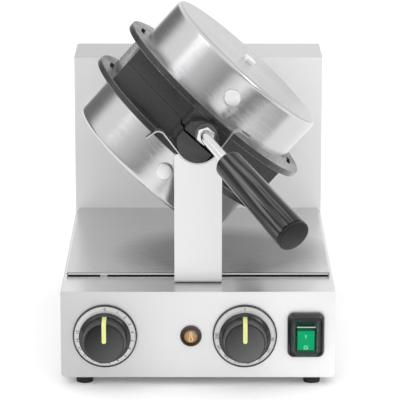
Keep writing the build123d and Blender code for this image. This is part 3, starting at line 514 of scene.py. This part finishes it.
drum_low, drum_high = box_in_pan_frame("upper_cover")
flange_radius = box_in_pan_frame("lower_plate")[1].x / MM
edge_level = drum_low.z / MM - 6.8
glint_profile = [(flange_radius - 1.0, -0.35), (flange_radius - 0.44, -0.35),
                (flange_radius - 0.44, 0.35), (flange_radius - 1.0, 0.35), (flange_radius - 1.0, -0.35)]
for name, body, side in (("upper_flange_glint", "lid", 1), ("lower_flange_glint", "lower_pan", -1)):
    profile = [(radius, side * edge_level + height) for radius, height in glint_profile]
    put_in_scene(name, lathe(profile, 192), "ground", body, pan_frame)
print("flange radius", round(flange_radius, 1), "mm")

# %% [markdown]
# ## Spun drums
# Each drum is spun from a steel disc on a lathe, so its shape follows one rule, and Geometry Nodes
# can make it from a flat grid: the rows go up the wall, round the rim and in to the middle, and the
# columns go round the axis. A faint ripple along the wall is what the spinning tool leaves.

# %% A tree that ends as a plain piece
def ends_with(geometry, look, leave):
    """Makes the copies real, gives them their material and hands them out."""
    real = add_node(geometry.id_data, "GeometryNodeRealizeInstances", {0: geometry})[0]
    feed(leave, {0: add_node(real.id_data, "GeometryNodeSetMaterial", {
        "Geometry": real, "Material": finish[look]})[0]})


def welded(geometry):
    """The same geometry with corners closer than two thousandths of a millimetre joined."""
    return add_node(geometry.id_data, "GeometryNodeMergeByDistance", {
        "Geometry": geometry, "Distance": 0.002 * MM})[0]


def new_rule(name, sizes):
    """An empty geometry tree whose named inputs start at this object's own sizes."""
    return new_tree("GeometryNodeTree", name, sizes, {"Geometry": "Geometry"})


def evaluated_mesh(thing):
    """An object's final mesh as plain data; the object itself is removed."""
    bpy.context.view_layer.update()
    mesh = bpy.data.meshes.new_from_object(thing.evaluated_get(bpy.context.evaluated_depsgraph_get()))
    bpy.data.objects.remove(thing)
    return mesh


def grown(name, tree, sizes, look, body, place, stands_for=(), sharp=35.0):
    """Runs a geometry tree on an empty mesh and keeps the result as a plain piece."""
    seed = linked("seed", bpy.data.meshes.new("seed"))
    modifier = seed.modifiers.new("grow", "NODES")
    modifier.node_group = tree
    for item in tree.interface.items_tree:
        if item.in_out == "INPUT":
            modifier[item.identifier] = sizes[item.name]
    mesh = evaluated_mesh(seed)
    bm = bmesh.new()
    bm.from_mesh(mesh)
    bpy.data.meshes.remove(mesh)
    bmesh.ops.recalc_face_normals(bm, faces=bm.faces)
    if place.determinant() < 0:
        bmesh.ops.reverse_faces(bm, faces=bm.faces)
    print(name, len(bm.faces), "faces")
    return put_in_scene(name, bm, look, body, place, stands_for, sharp)


# %% Sizes and finish of the drums
drum_radius, drum_top = drum_high.y, drum_high.z
drum_sizes = {"Radius": drum_radius, "Foot": drum_low.z, "Top": drum_top, "Rim": 5.0 * MM, "Wall": 1.2 * MM,
              "Ripple": 0.02 * MM, "Rows": 37, "Steps": 161, "Seed": 5}
# The scratches are circles about the pans' axis, and the end face is darker: painted shade
tree, shader = new_finish("drum", "spun stainless drum")
level = add_node(tree, "ShaderNodeMapping", {
    "Vector": object_place(tree), "Location": pan_centre, "Rotation": pan_frame.to_euler()},
    vector_type="TEXTURE")
x, y, z = add_node(tree, "ShaderNodeSeparateXYZ", {0: level[0]})
circles = vector(X=calc("POWER", plus(times(x, x), times(y, y)), 0.5), Z=z)
surface = add_node(tree, "ShaderNodeGroup", {
    "Vector": circles, "Fineness": 2400.0, "Contrast": 0.06, "Roughness": 0.17, "Depth": 0.22},
    node_tree=brushing)
end = ramp(calc("ABSOLUTE", z), drum_top - 1.5 * MM, drum_top - 0.3 * MM, 1.0, 0.72)
feed(shader, {
    "Base Color": shaded((0.66, 0.66, 0.67), times(surface["Tone"], end)),
    "Roughness": surface["Roughness"], "Normal": surface["Normal"], "Metallic": 1.0})

# %% The rule: a grid's rows become wall, rim and top of a drum, and its columns go round its axis
tree, given, leave = new_rule("spun drum", drum_sizes)
grid = add_node(tree, "GeometryNodeMeshGrid", {
    "Size X": 1.0, "Size Y": 1.0, "Vertices X": given["Rows"], "Vertices Y": given["Steps"]})
position = add_node(tree, "GeometryNodeInputPosition")[0]
x, y, _ = add_node(tree, "ShaderNodeSeparateXYZ", {0: position})
row = times(plus(x, 0.5), 3.0)
upward, rounding, inward = (clamped(minus(row, third)) for third in (0.0, 1.0, 2.0))
bend = times(rounding, math.pi / 2)
drawn_in = times(given["Rim"], minus(1.0, cosine(bend)))
flat = times(inward, minus(given["Radius"], given["Rim"]))
straight = minus(minus(given["Top"], given["Rim"]), given["Foot"])
height = plus(plus(given["Foot"], times(straight, upward)), times(given["Rim"], sine(bend)))
uneven = add_node(tree, "ShaderNodeTexNoise", {"W": plus(times(row, 14.0), given["Seed"])},
                  noise_dimensions="1D")
wave = times(minus(uneven[0], 0.5), given["Ripple"])
radius = plus(minus(minus(given["Radius"], drawn_in), flat), times(wave, minus(1.0, inward)))
angle = times(minus(0.5, y), math.tau)
shaped = add_node(tree, "GeometryNodeSetPosition", {
    "Geometry": grid["Mesh"],
    "Position": vector(X=times(radius, cosine(angle)), Y=times(radius, sine(angle)), Z=height)})
outside = welded(shaped[0])
inside = add_node(tree, "GeometryNodeExtrudeMesh", {
    "Mesh": outside, "Offset Scale": times(given["Wall"], -1.0), "Individual": False})
both = add_node(tree, "GeometryNodeJoinGeometry", {0: [outside, inside["Mesh"]]})
ends_with(welded(both[0]), "drum", leave)

# %% The drums, one of them mirrored
for side, node, body, name in (
        (1, "upper_cover", "lid", "upper_drum"), (-1, "lower_cover", "lower_pan", "lower_drum")):
    grown(name, tree, drum_sizes, "drum", body,
          pan_frame @ Matrix.Diagonal((1, 1, side, 1)), (node,), 40.0)
print("drum radius", round(drum_radius / MM, 1), "mm")

# %% [markdown]
# Two side bolts and a middle one hold each drum. They are pan heads with a nearly flat top: a plain
# cylinder would miss the bright line that the round edge gives.

# %% Bolts on the drums
side_bolt_level = drum_low.z + 25.5 * MM
side_bolt_radius, middle_bolt_radius, bolt_height = 9.5, 8.0, 5.5


def bolt_profile(radius):
    """A pan head: an upright edge, a round corner and a top that is nearly flat."""
    corner = rounded((radius, 0.9 * bolt_height), (radius, 0), (0, bolt_height), 0.35 * bolt_height)
    return [(0, 0), (radius, 0), *corner, (0.5 * radius, 0.985 * bolt_height), (0, bolt_height)]


for side, node, body, name in ((1, "upper_cover_bolts", "lid", "upper_drum_bolts"),
                               (-1, "lower_cover_bolts", "lower_pan", "lower_drum_bolts")):
    bolts = []
    for x, y, z, radius in ((0, -drum_radius, side_bolt_level, side_bolt_radius),
                            (0, drum_radius, side_bolt_level, side_bolt_radius),
                            (0, 0, drum_top, middle_bolt_radius)):
        outward = back * math.copysign(1, y) if y else up * side
        sideways = right if y <= 0 else -right
        bolt = lathe(bolt_profile(radius), 48)
        bolt.transform(frame_matrix(Vector((x, y, side * z)), sideways, outward.cross(sideways), outward))
        bolts.append(bolt)
    put_in_scene(name, joined(bolts), "bolt", body, pan_frame, (node,), 50.0)

# %% [markdown]
# ## The handle
# A steel rod is screwed into the upper pan's hub, bent once, and carries a turned grip with a cap.
# The grip is a lathe piece too, laid along the rod: its direction follows from the hub's two angles.

# %% Rod, nut and washer
softened("handle_rod", "rod", "plated", "lid", 0.2, 50.0)
softened("handle_nut", "rod_nut", "plated", "lid", 0.3)
softened("handle_washer", "rod_washer", "washer", "lid", 0.5)

# %% Where the grip lies
handle_azimuth, handle_rise = math.radians(46.0), math.radians(1.2)
grip_way = pan_frame.to_3x3() @ Vector((
    math.cos(handle_rise) * math.cos(handle_azimuth),
    -math.cos(handle_rise) * math.sin(handle_azimuth),
    math.sin(handle_rise),
))
grip_side = up.cross(grip_way).normalized()
corners = [v.co for v in frame["nodes"]["handle_grip"].data.vertices]
reach = [corner.dot(grip_way) for corner in corners]
cap_reach = [v.co.dot(grip_way) for v in frame["nodes"]["grip_cap"].data.vertices]
centre = sum(corners, Vector()) / len(corners)
grip_start = centre + grip_way * (min(reach) - centre.dot(grip_way))
grip_frame = frame_matrix(grip_start, grip_side, grip_way.cross(grip_side), grip_way)
grip_length, cap_end = ((max(ends) - min(reach)) / MM for ends in (reach, cap_reach))
near_radius, far_radius, rod_radius = 16.0, 18.6, 6.0

# %% Polished black plastic with pale streaks along the grip: painted reflections, stretched along its length
tree, shader = new_finish("grip", "black grip with painted streak reflections")
mapping = add_node(tree, "ShaderNodeMapping", {
    "Vector": object_place(tree), "Location": grip_frame.to_translation(),
    "Rotation": grip_frame.to_euler(), "Scale": (1, 1, 40)}, vector_type="TEXTURE")
feed(shader, {
    "Base Color": ramp(noise(mapping[0], 190.0, 3.0), 0.50, 0.66, 0.003, 0.13), "Roughness": 0.16,
    "Specular IOR Level": 0.35, "Coat Weight": 0.12, "Coat Roughness": 0.1})

# %% Grip and cap
far_end, cap_start = (far_radius, grip_length), grip_length + 1.0
grip_profile = [
    (rod_radius, 4), (rod_radius, 0), *rounded((near_radius, 0), (rod_radius, 0), far_end, 6.0, 10),
    *rounded(far_end, (near_radius, 0), (0, grip_length), 0.8, 4),
    (far_radius - 3, grip_length), (far_radius - 3, grip_length - 2), (0, grip_length - 2)]
cap_profile = [
    (0, cap_start - 3), (far_radius - 3.5, cap_start - 3), (far_radius - 3.5, cap_start),
    *rounded((far_radius, cap_start), (0, cap_start), (far_radius, cap_end), 0.6, 4),
    *rounded((far_radius, cap_end - 1), (far_radius, cap_start), (0, cap_end), 2.2, 8),
    (0.5 * far_radius, cap_end - 0.15), (0, cap_end)]
for name, node, look, profile in (
        ("grip", "handle_grip", "grip", grip_profile), ("grip_end", "grip_cap", "black", cap_profile)):
    put_in_scene(name, lathe(profile, 96), look, "lid", grip_frame, (node,), 45.0)
print("grip length", round(grip_length, 1), "mm")

# %% [markdown]
# ## Knobs and their scales
# Each knob is a turned shape with a skirt, a tapered barrel and a flat face. A yellow bar is let
# into the face and runs up over the barrel, so that the user sees it from above. The face is a
# piece of its own, because it is satin and carries a painted reflection, dark to pale across its width.

# %% Sizes of the knobs, in millimetres
knob_places = {name: toward_front(*Vector(joints[f"{name}_turn"]["pos_m"]).xz)
               for name in ("timer", "thermostat")}
skirt_radius, hub_radius, barrel_radius, face_radius = 28.8, 25.5, 25.0, 21.2
knob_back, skirt_back, skirt_front, knob_front = 2.9, 7.6, 10.8, 33.4
groove_front, groove_floor = knob_front - 2.2, knob_front - 4.0
scale_level = 2.3

# Hub, thin sloping skirt, tapered barrel and the fine groove behind the face
knob_profile = [
    (0, knob_back), (hub_radius, knob_back), (hub_radius, skirt_back), (skirt_radius - 0.5, skirt_back),
    *rounded((skirt_radius, skirt_front - 1.4), (skirt_radius, skirt_back), (barrel_radius, skirt_front),
             0.9, 5),
    (barrel_radius + 0.5, skirt_front), (barrel_radius, skirt_front + 0.5),
    *rounded((face_radius + 1.5, groove_front), (barrel_radius, skirt_front), (face_radius, groove_front),
             0.6, 4),
    (face_radius + 0.5, groove_front), (face_radius + 0.3, groove_floor), (face_radius - 0.4, groove_floor),
    (0, knob_front - 2.6)]
# The satin disc that closes the barrel, very slightly domed
face_back = (face_radius, knob_front - 4.2)
face_profile = [
    (0, face_back[1]), face_back,
    *rounded((face_radius, knob_front), face_back, (0, knob_front + 0.4), 1.0),
    (0.5 * face_radius, knob_front + 0.3), (0, knob_front + 0.4)]
bezel_profile = [(34.4, 1.0), (34.4, 3.9), (34.7, 4.2), (35.1, 4.2), (35.6, 3.6), (35.9, 0), (34.4, 0),
                 (34.4, 1.0)]
scale_profile = [(12, 1.0), (12, scale_level), (34.25, scale_level), (34.25, 1.0), (12, 1.0)]


# %% The pointer bar
def bar_on_knob(half, proud, tail):
    """A bar with a round end on the face, which bends over the edge and runs down the barrel."""
    rows = []
    for step in range(7):
        angle = math.radians(90 * step / 6)
        rows.append((half * math.sin(angle), half * (1 - math.cos(angle)) - tail, knob_front))
    rows += [(half, high, level) for high, level in (
        (face_radius - 1.6, knob_front), (face_radius, knob_front - 0.5),
        (face_radius + 1.5, groove_front), (barrel_radius - 0.2, skirt_front + 2.2))]
    bm = bmesh.new()
    loops = []
    for width, low, level in rows:
        on_face = level == knob_front
        high, top = (low, level + proud) if on_face else (low + proud, level + 0.6 * proud)
        foot = level - 1.2
        loops.append([bm.verts.new((x * MM, y * MM, z * MM)) for x, y, z in (
            (-width, low, foot), (-width, high, top), (width, high, top), (width, low, foot))])
    for first, second in zip(loops, loops[1:]):
        bridge(bm, first, second)
    bm.faces.new(loops[-1])
    bmesh.ops.remove_doubles(bm, verts=bm.verts, dist=1e-7)
    bmesh.ops.recalc_face_normals(bm, faces=bm.faces)
    return bm


# %% Knobs, bezels and scales
# Each knob face is darker at its upper left and paler at its lower right: a painted reflection.
face_slope = Vector((0.64, 0, -0.77))
painted_face_tones = {"timer": (0.03, 0.85), "thermostat": (0.30, 1.25)}
for label, spot in knob_places.items():
    middle, half_face = face_slope.dot(spot.translation * Vector((1, 0, 1))), face_radius * MM
    grained(
        f"{label} face", f"satin {label} face", (0.1, 0.1, 0.103), 0.38, 1800.0, 0.25, 0.08, shine=0.25,
        slope=(face_slope, middle - half_face, middle + half_face, *painted_face_tones[label]))
    dial = f"{label}_dial"
    # A thin black strip, a little wider than the yellow bar, lies under it and shows as a dark border round
    # it.
    for name, shape, look, body, slot, node, sharp in (
            ("turning_knob", lathe(knob_profile, 96), "gloss", dial, "black_plastic", "knob", 28.0),
            ("knob_cap", lathe(face_profile, 96), f"{label} face", dial, "black_plastic", None, 35.0),
            ("pointer_border", bar_on_knob(3.1, 0.25, 0.1), "rubber", dial, "black_plastic", None, 35.0),
            ("pointer_bar", bar_on_knob(2.4, 0.8, -0.6), "yellow", dial, "pointer_yellow", "pointer", 35.0),
            ("bezel_ring", lathe(bezel_profile, 96), "gloss", "frame", "black_plastic", "bezel", 50.0),
            ("scale_ring", lathe(scale_profile, 96), "scale", "frame", "scale_metal", "scale", 50.0)):
        replaced = (f"{label}_{node}",) if node else ()
        put_in_scene(f"{label}_{name}", shape, look, body, spot, replaced, sharp)

# %% [markdown]
# ## Numbers on the scales
# The scales carry plain numbers. An image could print them, but text objects turned into meshes stay
# sharp. Each is laid flat on its scale and turned to its own angle, and one scale's are one piece.

# %% Numbers
number_radius = 30.7


def flat_text(words, size):
    """The outline of some text as a flat mesh, centred on its own middle."""
    curve = bpy.data.curves.new("words", "FONT")
    curve.body = words
    curve.size = size * MM
    curve.align_x = curve.align_y = "CENTER"
    curve.resolution_u = 3
    mesh = evaluated_mesh(linked("words", curve))
    bpy.data.curves.remove(curve)
    return mesh


def number_ring(label, numbers, size, last_size):
    """All numbers of one scale as one piece on the front of its plate."""
    whole = bmesh.new()
    shift = Matrix.Translation((0, number_radius * MM, (scale_level + 0.08) * MM))
    for angle, words in numbers:
        mesh = flat_text(words, last_size if words == numbers[-1][1] else size)
        mesh.transform(knob_places[label] @ Matrix.Rotation(-math.radians(angle), 4, "Z") @ shift)
        whole.from_mesh(mesh)
        bpy.data.meshes.remove(mesh)
    put_in_scene(f"{label}_numbers", whole, "ink", "frame")
    print("numbers on the", label, "scale:", len(numbers))


number_ring("timer", [(0, "0")] + [(27.5 + 17.95 * i, str(i + 1)) for i in range(15)], 4.8, 4.8)
number_ring("thermostat", [(0, "0")] + [(96 + 24.9 * i, str(90 + 30 * i)) for i in range(8)], 4.2, 5.2)

# %% [markdown]
# ## The indicator lamp
# An amber lens sits in a dark bezel. Real glass would need light from inside, and the lamp is off,
# so a coated amber surface looks closer to it, with a painted grey reflection on one side and painted shade
# at its rim.

# %% Glass of the lens: amber, with a painted grey reflection towards its upper right and painted shade at its rim
lamp_low, lamp_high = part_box("lamp_lens")
lamp_middle = Vector(((lamp_low.x + lamp_high.x) / 2, lamp_low.y, (lamp_low.z + lamp_high.z) / 2))
lens_radius, lens_front = 8.5, (panel_y - lamp_low.y) / MM
lamp_spot = toward_front(lamp_middle.x, lamp_middle.z)
lamp_way = Vector((0.6, 0, 0.8))
lamp_level = lamp_way.dot(lamp_middle)
tree, shader = new_finish("amber", "amber lens")
surface = add_node(tree, "ShaderNodeGroup", {
    "Scale": 260.0, "Colour": (0.50, 0.23, 0.035, 1), "Contrast": 0.9, "Roughness": 0.15,
    "Depth": 0.05}, node_tree=grain)
lens_size = lens_radius * MM
# Painted reflection: the lens turns greyer towards its upper right.
grey = tone_along(tree, lamp_way, lamp_level - 0.3 * lens_size, lamp_level + 0.8 * lens_size, 0.0, 0.85)
mixed = add_node(tree, "ShaderNodeMix", {
    "Factor": grey, 6: surface["Colour"], 7: (0.36, 0.27, 0.26, 1)}, data_type="RGBA")
# Painted shade: the lens turns darker towards its rim.
rim = tone_round(tree, lamp_middle, 0.45 * lens_size, 1.05 * lens_size, 1.1, 0.18)
feed(shader, {
    "Base Color": shaded(mixed[2], rim), "Roughness": surface["Roughness"],
    "Normal": surface["Normal"], "Coat Weight": 0.3})

# %% Lens and bezel
# The bezel is much lighter towards its upper right than at its lower left: painted light and shade.
grained("bezel", "dark brown bezel", (0.030, 0.021, 0.016), 0.3, 900.0, 0.2, 0.05, shine=0.3,
        slope=(lamp_way, lamp_level - 12 * MM, lamp_level + 12 * MM, 0.3, 3.0))
dome = [math.radians(90 * step / 8) for step in range(1, 8)]
lens_profile = [(0, 0), (lens_radius, 0), (lens_radius, 0.45 * lens_front)] + [
    (lens_radius * math.cos(turn), (0.45 + 0.4 * math.sin(turn)) * lens_front) for turn in dome
] + [(0, 0.85 * lens_front)]
ring_profile = [(lens_radius, 0), (lens_radius, 3.0), (9.4, 3.9), (10.8, 3.6), (11.9, 2.0), (12.0, 0),
                (lens_radius, 0)]
put_in_scene("lamp_lens_dome", lathe(lens_profile, 64), "amber", "frame", lamp_spot,
             ("lamp_lens",), 40.0)
put_in_scene("lamp_ring", lathe(ring_profile, 64), "bezel", "frame", lamp_spot,
             ("lamp_bezel",), 30.0)

# %% [markdown]
# The lens has radial prisms inside, which break up the light. They all follow one rule, a turn about
# the lens's middle, so Geometry Nodes makes them: one thin wedge, copied round a circle.

# %% Prisms by rule
prism_sizes = {"Count": 24, "Seed": 7, "Inner": 3.4 * MM, "Outer": (lens_radius - 1.2) * MM,
               "Height": 0.80 * lens_front * MM, "Width": 0.5 * MM, "Uneven": 0.3}
# A thin wedge on each point of a circle, turned by its share and a little uneven in length
tree, given, leave = new_rule("lens prisms", prism_sizes)
wedge = add_node(tree, "GeometryNodeMeshCube", {
    "Size": vector(X=minus(given["Outer"], given["Inner"]), Y=given["Width"], Z=given["Width"])})
ring = add_node(tree, "GeometryNodeMeshCircle", {
    "Vertices": given["Count"], "Radius": times(plus(given["Outer"], given["Inner"]), 0.5)})
raised = add_node(tree, "GeometryNodeSetPosition", {
    "Geometry": ring["Mesh"], "Offset": vector(Z=given["Height"])})
number, share = add_node(tree, "GeometryNodeInputIndex")[0], calc("DIVIDE", math.tau, given["Count"])
turn = add_node(tree, "FunctionNodeEulerToRotation", {0: vector(Z=times(number, share))})
chance = add_node(tree, "FunctionNodeRandomValue", {
    2: minus(1.0, given["Uneven"]), 3: 1.0, 8: given["Seed"]}, data_type="FLOAT")
copies = add_node(tree, "GeometryNodeInstanceOnPoints", {
    "Points": raised[0], "Instance": wedge["Mesh"], "Rotation": turn[0],
    "Scale": vector(X=chance[1], Y=1.0, Z=1.0)})
# The wedges are paler than the lens: a painted highlight for the light lines that the prisms show.
ends_with(copies[0], "prism", leave)
grown("lamp_prisms", tree, prism_sizes, "prism", "frame", lamp_spot)


# %% The thermometer mark
def thermometer(bulb, stem, top):
    """The outline of a bulb with a stem whose round end is centred at a height."""
    start = math.asin(stem / bulb)
    low = [math.pi / 2 + start + (math.tau - 2 * start) * step / 16 for step in range(17)]
    high = [math.pi * step / 6 for step in range(7)]
    return [(bulb * math.cos(a), bulb * math.sin(a)) for a in low] + [
        (stem * math.cos(a), top + stem * math.sin(a)) for a in high]


bulb_drop = 3.0
line = bmesh.new()
outer, inner = ([line.verts.new((x * MM, (y - bulb_drop) * MM, 0.92 * lens_front * MM)) for x, y in outline]
                for outline in (thermometer(2.4, 1.4, 7.2), thermometer(1.7, 0.7, 7.2)))
bridge(line, outer, inner)
bmesh.ops.recalc_face_normals(line, faces=line.faces)
put_in_scene("lamp_mark", line, "peach", "frame", lamp_spot)

# %% [markdown]
# ## The main switch
# A green rocker tips under a clear splash cover in a thick black frame. The frame and the cover are
# soft moulded shapes, so rounded rectangles are stacked on each other and joined, which gives more
# say over each step of the form than a bevelled box.

# %% Soft mouldings
def soft_shell(rows, steps=8, closed=False):
    """Rounded rectangles in mm: half width, low edge, high edge, level and corner of each."""
    bm = bmesh.new()
    loops = []
    for half, low, high, level, corner in rows:
        loop = []
        for side_x, side_y, start in ((1, 1, 0), (-1, 1, 90), (-1, -1, 180), (1, -1, 270)):
            middle_x = side_x * (half - corner)
            middle_y = (high if side_y > 0 else low) - side_y * corner
            for step in range(steps + 1):
                angle = math.radians(start + 90 * step / steps)
                loop.append(bm.verts.new(((middle_x + corner * math.cos(angle)) * MM,
                                          (middle_y + corner * math.sin(angle)) * MM, level * MM)))
        loops.append(loop)
    for first, second in zip(loops, loops[1:]):
        bridge(bm, first, second)
    if closed:
        bm.faces.new(loops[-1])
    else:
        bridge(bm, loops[-1], loops[0])
    bmesh.ops.recalc_face_normals(bm, faces=bm.faces)
    return bm


# %% Clear plastic: nearly gone when seen straight on, with a painted pale sheen where it is seen along its edge
tree, shader = new_finish("clear", "clear splash cover")
surface = add_node(tree, "ShaderNodeGroup", {
    "Scale": 400.0, "Colour": (0.02, 0.25, 0.15, 1), "Contrast": 0.2, "Roughness": 0.12,
    "Depth": 0.02}, node_tree=grain)
facing = add_node(tree, "ShaderNodeLayerWeight", {"Blend": 0.3})["Facing"]
pale = add_node(tree, "ShaderNodeMix", {
    "Factor": facing, 6: surface["Colour"], 7: (0.25, 0.40, 0.36, 1)}, data_type="RGBA")
feed(shader, {
    "Base Color": pale[2], "Roughness": surface["Roughness"], "Alpha": plus(times(facing, 0.5), 0.03)})

# %% Frame and cover of the switch
switch_low, switch_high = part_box("switch_frame")
switch_x = (switch_low.x + switch_high.x) / 2
half_width = (switch_high.x - switch_x) / MM
frame_low, frame_high = switch_low.z / MM, switch_high.z / MM + 1.5
surround_rows = [
    (half_width - inset, frame_low + bottom, frame_high - top, level, corner)
    for inset, bottom, top, level, corner in (
        (0, 0, 0, 0, 7.0), (0, 0, 0, 4.6, 7.0), (0.5, 0.4, 0.7, 6.2, 6.6), (1.4, 1.2, 2.4, 7.7, 6.0),
        (2.5, 2.0, 4.2, 8.5, 5.2), (3.1, 2.6, 5.0, 8.1, 4.8), (4.0, 3.0, 5.8, 5.0, 4.2),
        (5.4, 3.6, 6.8, 4.4, 3.0), (8.6, 7.4, 9.0, 4.3, 1.5), (8.7, 7.5, 9.1, 0, 1.5))]
cover_rows = ((14.2, 37.8, 76.4, 4.5, 4.0), (13.8, 37.6, 75.6, 8.0, 4.0), (12.8, 37.4, 72.8, 12.0, 4.0),
              (12.2, 37.6, 71.2, 13.8, 3.8), (11.2, 38.2, 70.0, 14.5, 3.4))
# A thin paler strip along the cover's top front edge is a painted glint.
glint_rows = ((10.4, 70.2, 71.5, 13.7, 0.5), (10.2, 70.3, 71.3, 14.3, 0.5), (9.9, 70.5, 71.0, 14.5, 0.2))
for name, shape, look, slot, replaced, sharp in (
        ("switch_surround", soft_shell(surround_rows), "gloss", "black_plastic", ("switch_frame",), 45.0),
        ("switch_cover", soft_shell(cover_rows, closed=True), "clear", "clear_plastic",
         ("switch_splash_cover",), 60.0),
        ("switch_cover_glint", soft_shell(glint_rows, 3, True), "glint", "clear_plastic", (), 60.0)):
    put_in_scene(name, shape, look, "frame", toward_front(switch_x, 0), replaced, sharp)

# %% [markdown]
# The marks I and O are thin solids on the rocker's two slopes. They ride on the rocker, so they tip
# with it. The rocker sits a little lower in its frame than the solid, as the photograph shows.

# %% Rocker and its marks
pivot = Vector(joints["switch_rock"]["pos_m"])
key_place = (Matrix.Translation(pivot - up * 4.6 * MM) @ Matrix.Diagonal((0.98, 1, 0.94, 1))
             @ Matrix.Translation(-pivot))
softened("switch_rocker", "rocker_key", "green", "rocker", 0.5, 32.0, key_place)
rocker_tilt, rocker_face = math.radians(7.0), 7.5
slope_fall, slope_length, mark_half = 1.2, 12.5, 0.15
slope_angle = math.atan2(slope_fall, slope_length)
bar_mark = block(Vector((-0.5, -2.1, -mark_half)) * MM, Vector((0.5, 2.1, mark_half)) * MM)
ring_mark = lathe([(1.5, -mark_half), (2.4, -mark_half), (2.4, mark_half), (1.5, mark_half),
                   (1.5, -mark_half)], 32)
for shape, height, lean in ((bar_mark, 5.4, slope_angle), (ring_mark, -8.7, -slope_angle)):
    distance = rocker_face - slope_fall * (1 - abs(height) / slope_length) + 0.05
    spot = frame_matrix(Vector((0, -distance, height)) * MM, right, up, -back)
    shape.transform(key_place @ Matrix.Translation(pivot) @ Matrix.Rotation(rocker_tilt, 4, "X")
                    @ spot @ Matrix.Rotation(lean, 4, "X"))
marks = joined([bar_mark, ring_mark])
bmesh.ops.recalc_face_normals(marks, faces=marks.faces)
put_in_scene("rocker_marks", marks, "mark", "rocker")

# %% [markdown]
# ## Floor, light and camera
# The photograph is a bright studio picture on white. More light would burn out the pale steel, so
# the floor and the background are white to the camera by their own colour, and large soft lamps
# light the object at a plain level. Two grey cards on the floor, below the picture's edge, give the
# drums something dark to mirror. The camera can't see them: to it they are as white as the floor.

# %% Floor and cards: flat sheets that take the soft shadow and are white to the camera at any grey
white, glow = 0.97, 0.08
for name, grey, height, corners in (
        ("floor", white, 0, ((-6, -6), (6, -6), (6, 6), (-6, 6))),
        ("dark card", 0.25, 0.6 * MM, (
            (0.02, -1.10), (0.60, -1.10), (0.56, -0.46), (0.34, -0.42), (0.20, -0.52), (0.02, -0.62))),
        ("pale card", 0.5, 0.6 * MM, ((0.27, -0.40), (0.55, -0.44), (0.60, -0.12), (0.27, -0.12)))):
    mesh = bpy.data.meshes.new(name)
    mesh.from_pydata([(x, y, height) for x, y in corners], [], [range(len(corners))])
    tree, shader = new_finish(name, name)
    seen = add_node(tree, "ShaderNodeLightPath")["Is Camera Ray"]
    feed(shader, {
        "Base Color": (white, white, white, 1) if grey == white else plus(times(seen, white - grey), grey),
        "Emission Strength": times(seen, glow), "Emission Color": (1, 1, 1, 1), "Roughness": 0.9,
        "Specular IOR Level": 0.0})
    mesh.materials.append(finish[name])
    linked(name, mesh)

# %% World: white to the camera, even for soft light, and a room with darker places to reflections
world = bpy.data.worlds.new("studio")
bpy.context.scene.world = world
world.use_nodes = True
tree = world.node_tree
rays = add_node(tree, "ShaderNodeLightPath")
x, y, z = add_node(tree, "ShaderNodeSeparateXYZ", {0: add_node(tree, "ShaderNodeTexCoord")["Generated"]})
# The room is darker ahead of the object, more so lower down
gloom = times(clamped(plus(times(y, -1.5), 0.2)), clamped(plus(times(z, -1.29), 0.725)))
# A pale strip at the horizon opens the gloom, except at the far left
low = clamped(times(minus(0.07, z), 12.0))
strip = times(times(low, clamped(times(plus(x, 0.33), 12.0))), 0.9)
# A dark flag stands behind on the left
flag = clamped(times(minus(plus(times(x, -0.73), times(y, 0.68)), 0.80), 10.0))
mirrored = minus(minus(0.95, times(gloom, minus(1.0, strip))), times(flag, 0.75))
mirror = rays["Is Glossy Ray"]
level = plus(times(minus(1.0, mirror), 1.12), times(mirror, mirrored))
level = plus(level, times(rays["Is Camera Ray"], minus(1.0, level)))
feed(tree.nodes["Background"], {"Strength": level, "Color": (1, 1, 1, 1)})

# %% Lamps: square area lamps that look at the middle of the object
for name, place, size, power in (
        ("left lamp", (-1.4, -0.9, 1.9), 0.9, 3), ("right lamp", (1.7, -1.4, 1.5), 0.8, 5)):
    data = bpy.data.lights.new(name, "AREA")
    data.size = size
    data.energy = power
    lamp = linked(name, data)
    lamp.location = place
    lamp.rotation_euler = (Vector((0, 0, 0.2)) - Vector(place)).to_track_quat("-Z", "Y").to_euler()

# %% [markdown]
# The camera stands far away with a long lens, a little above the object. Its place and lens were
# worked out from the straight edges in the photograph, in pixels of a picture 400 wide.

# %% Camera
lens_in_pixels, picture_width = 2638.0, 400.0
camera_pitch, camera_distance, camera_height, camera_side = 13.5, 2812.3, 887.3, 2.1
camera_data = bpy.data.cameras.new("camera")
camera_data.sensor_width = 36.0
camera_data.lens = lens_in_pixels / picture_width * camera_data.sensor_width
camera_data.clip_end = 20.0
camera = linked("camera", camera_data)
camera.location = (camera_side * MM, panel_y - camera_distance * MM, camera_height * MM)
camera.rotation_euler = (math.radians(90 - camera_pitch), 0, 0)
bpy.context.scene.camera = camera
bpy.context.scene.view_settings.view_transform = "Standard"
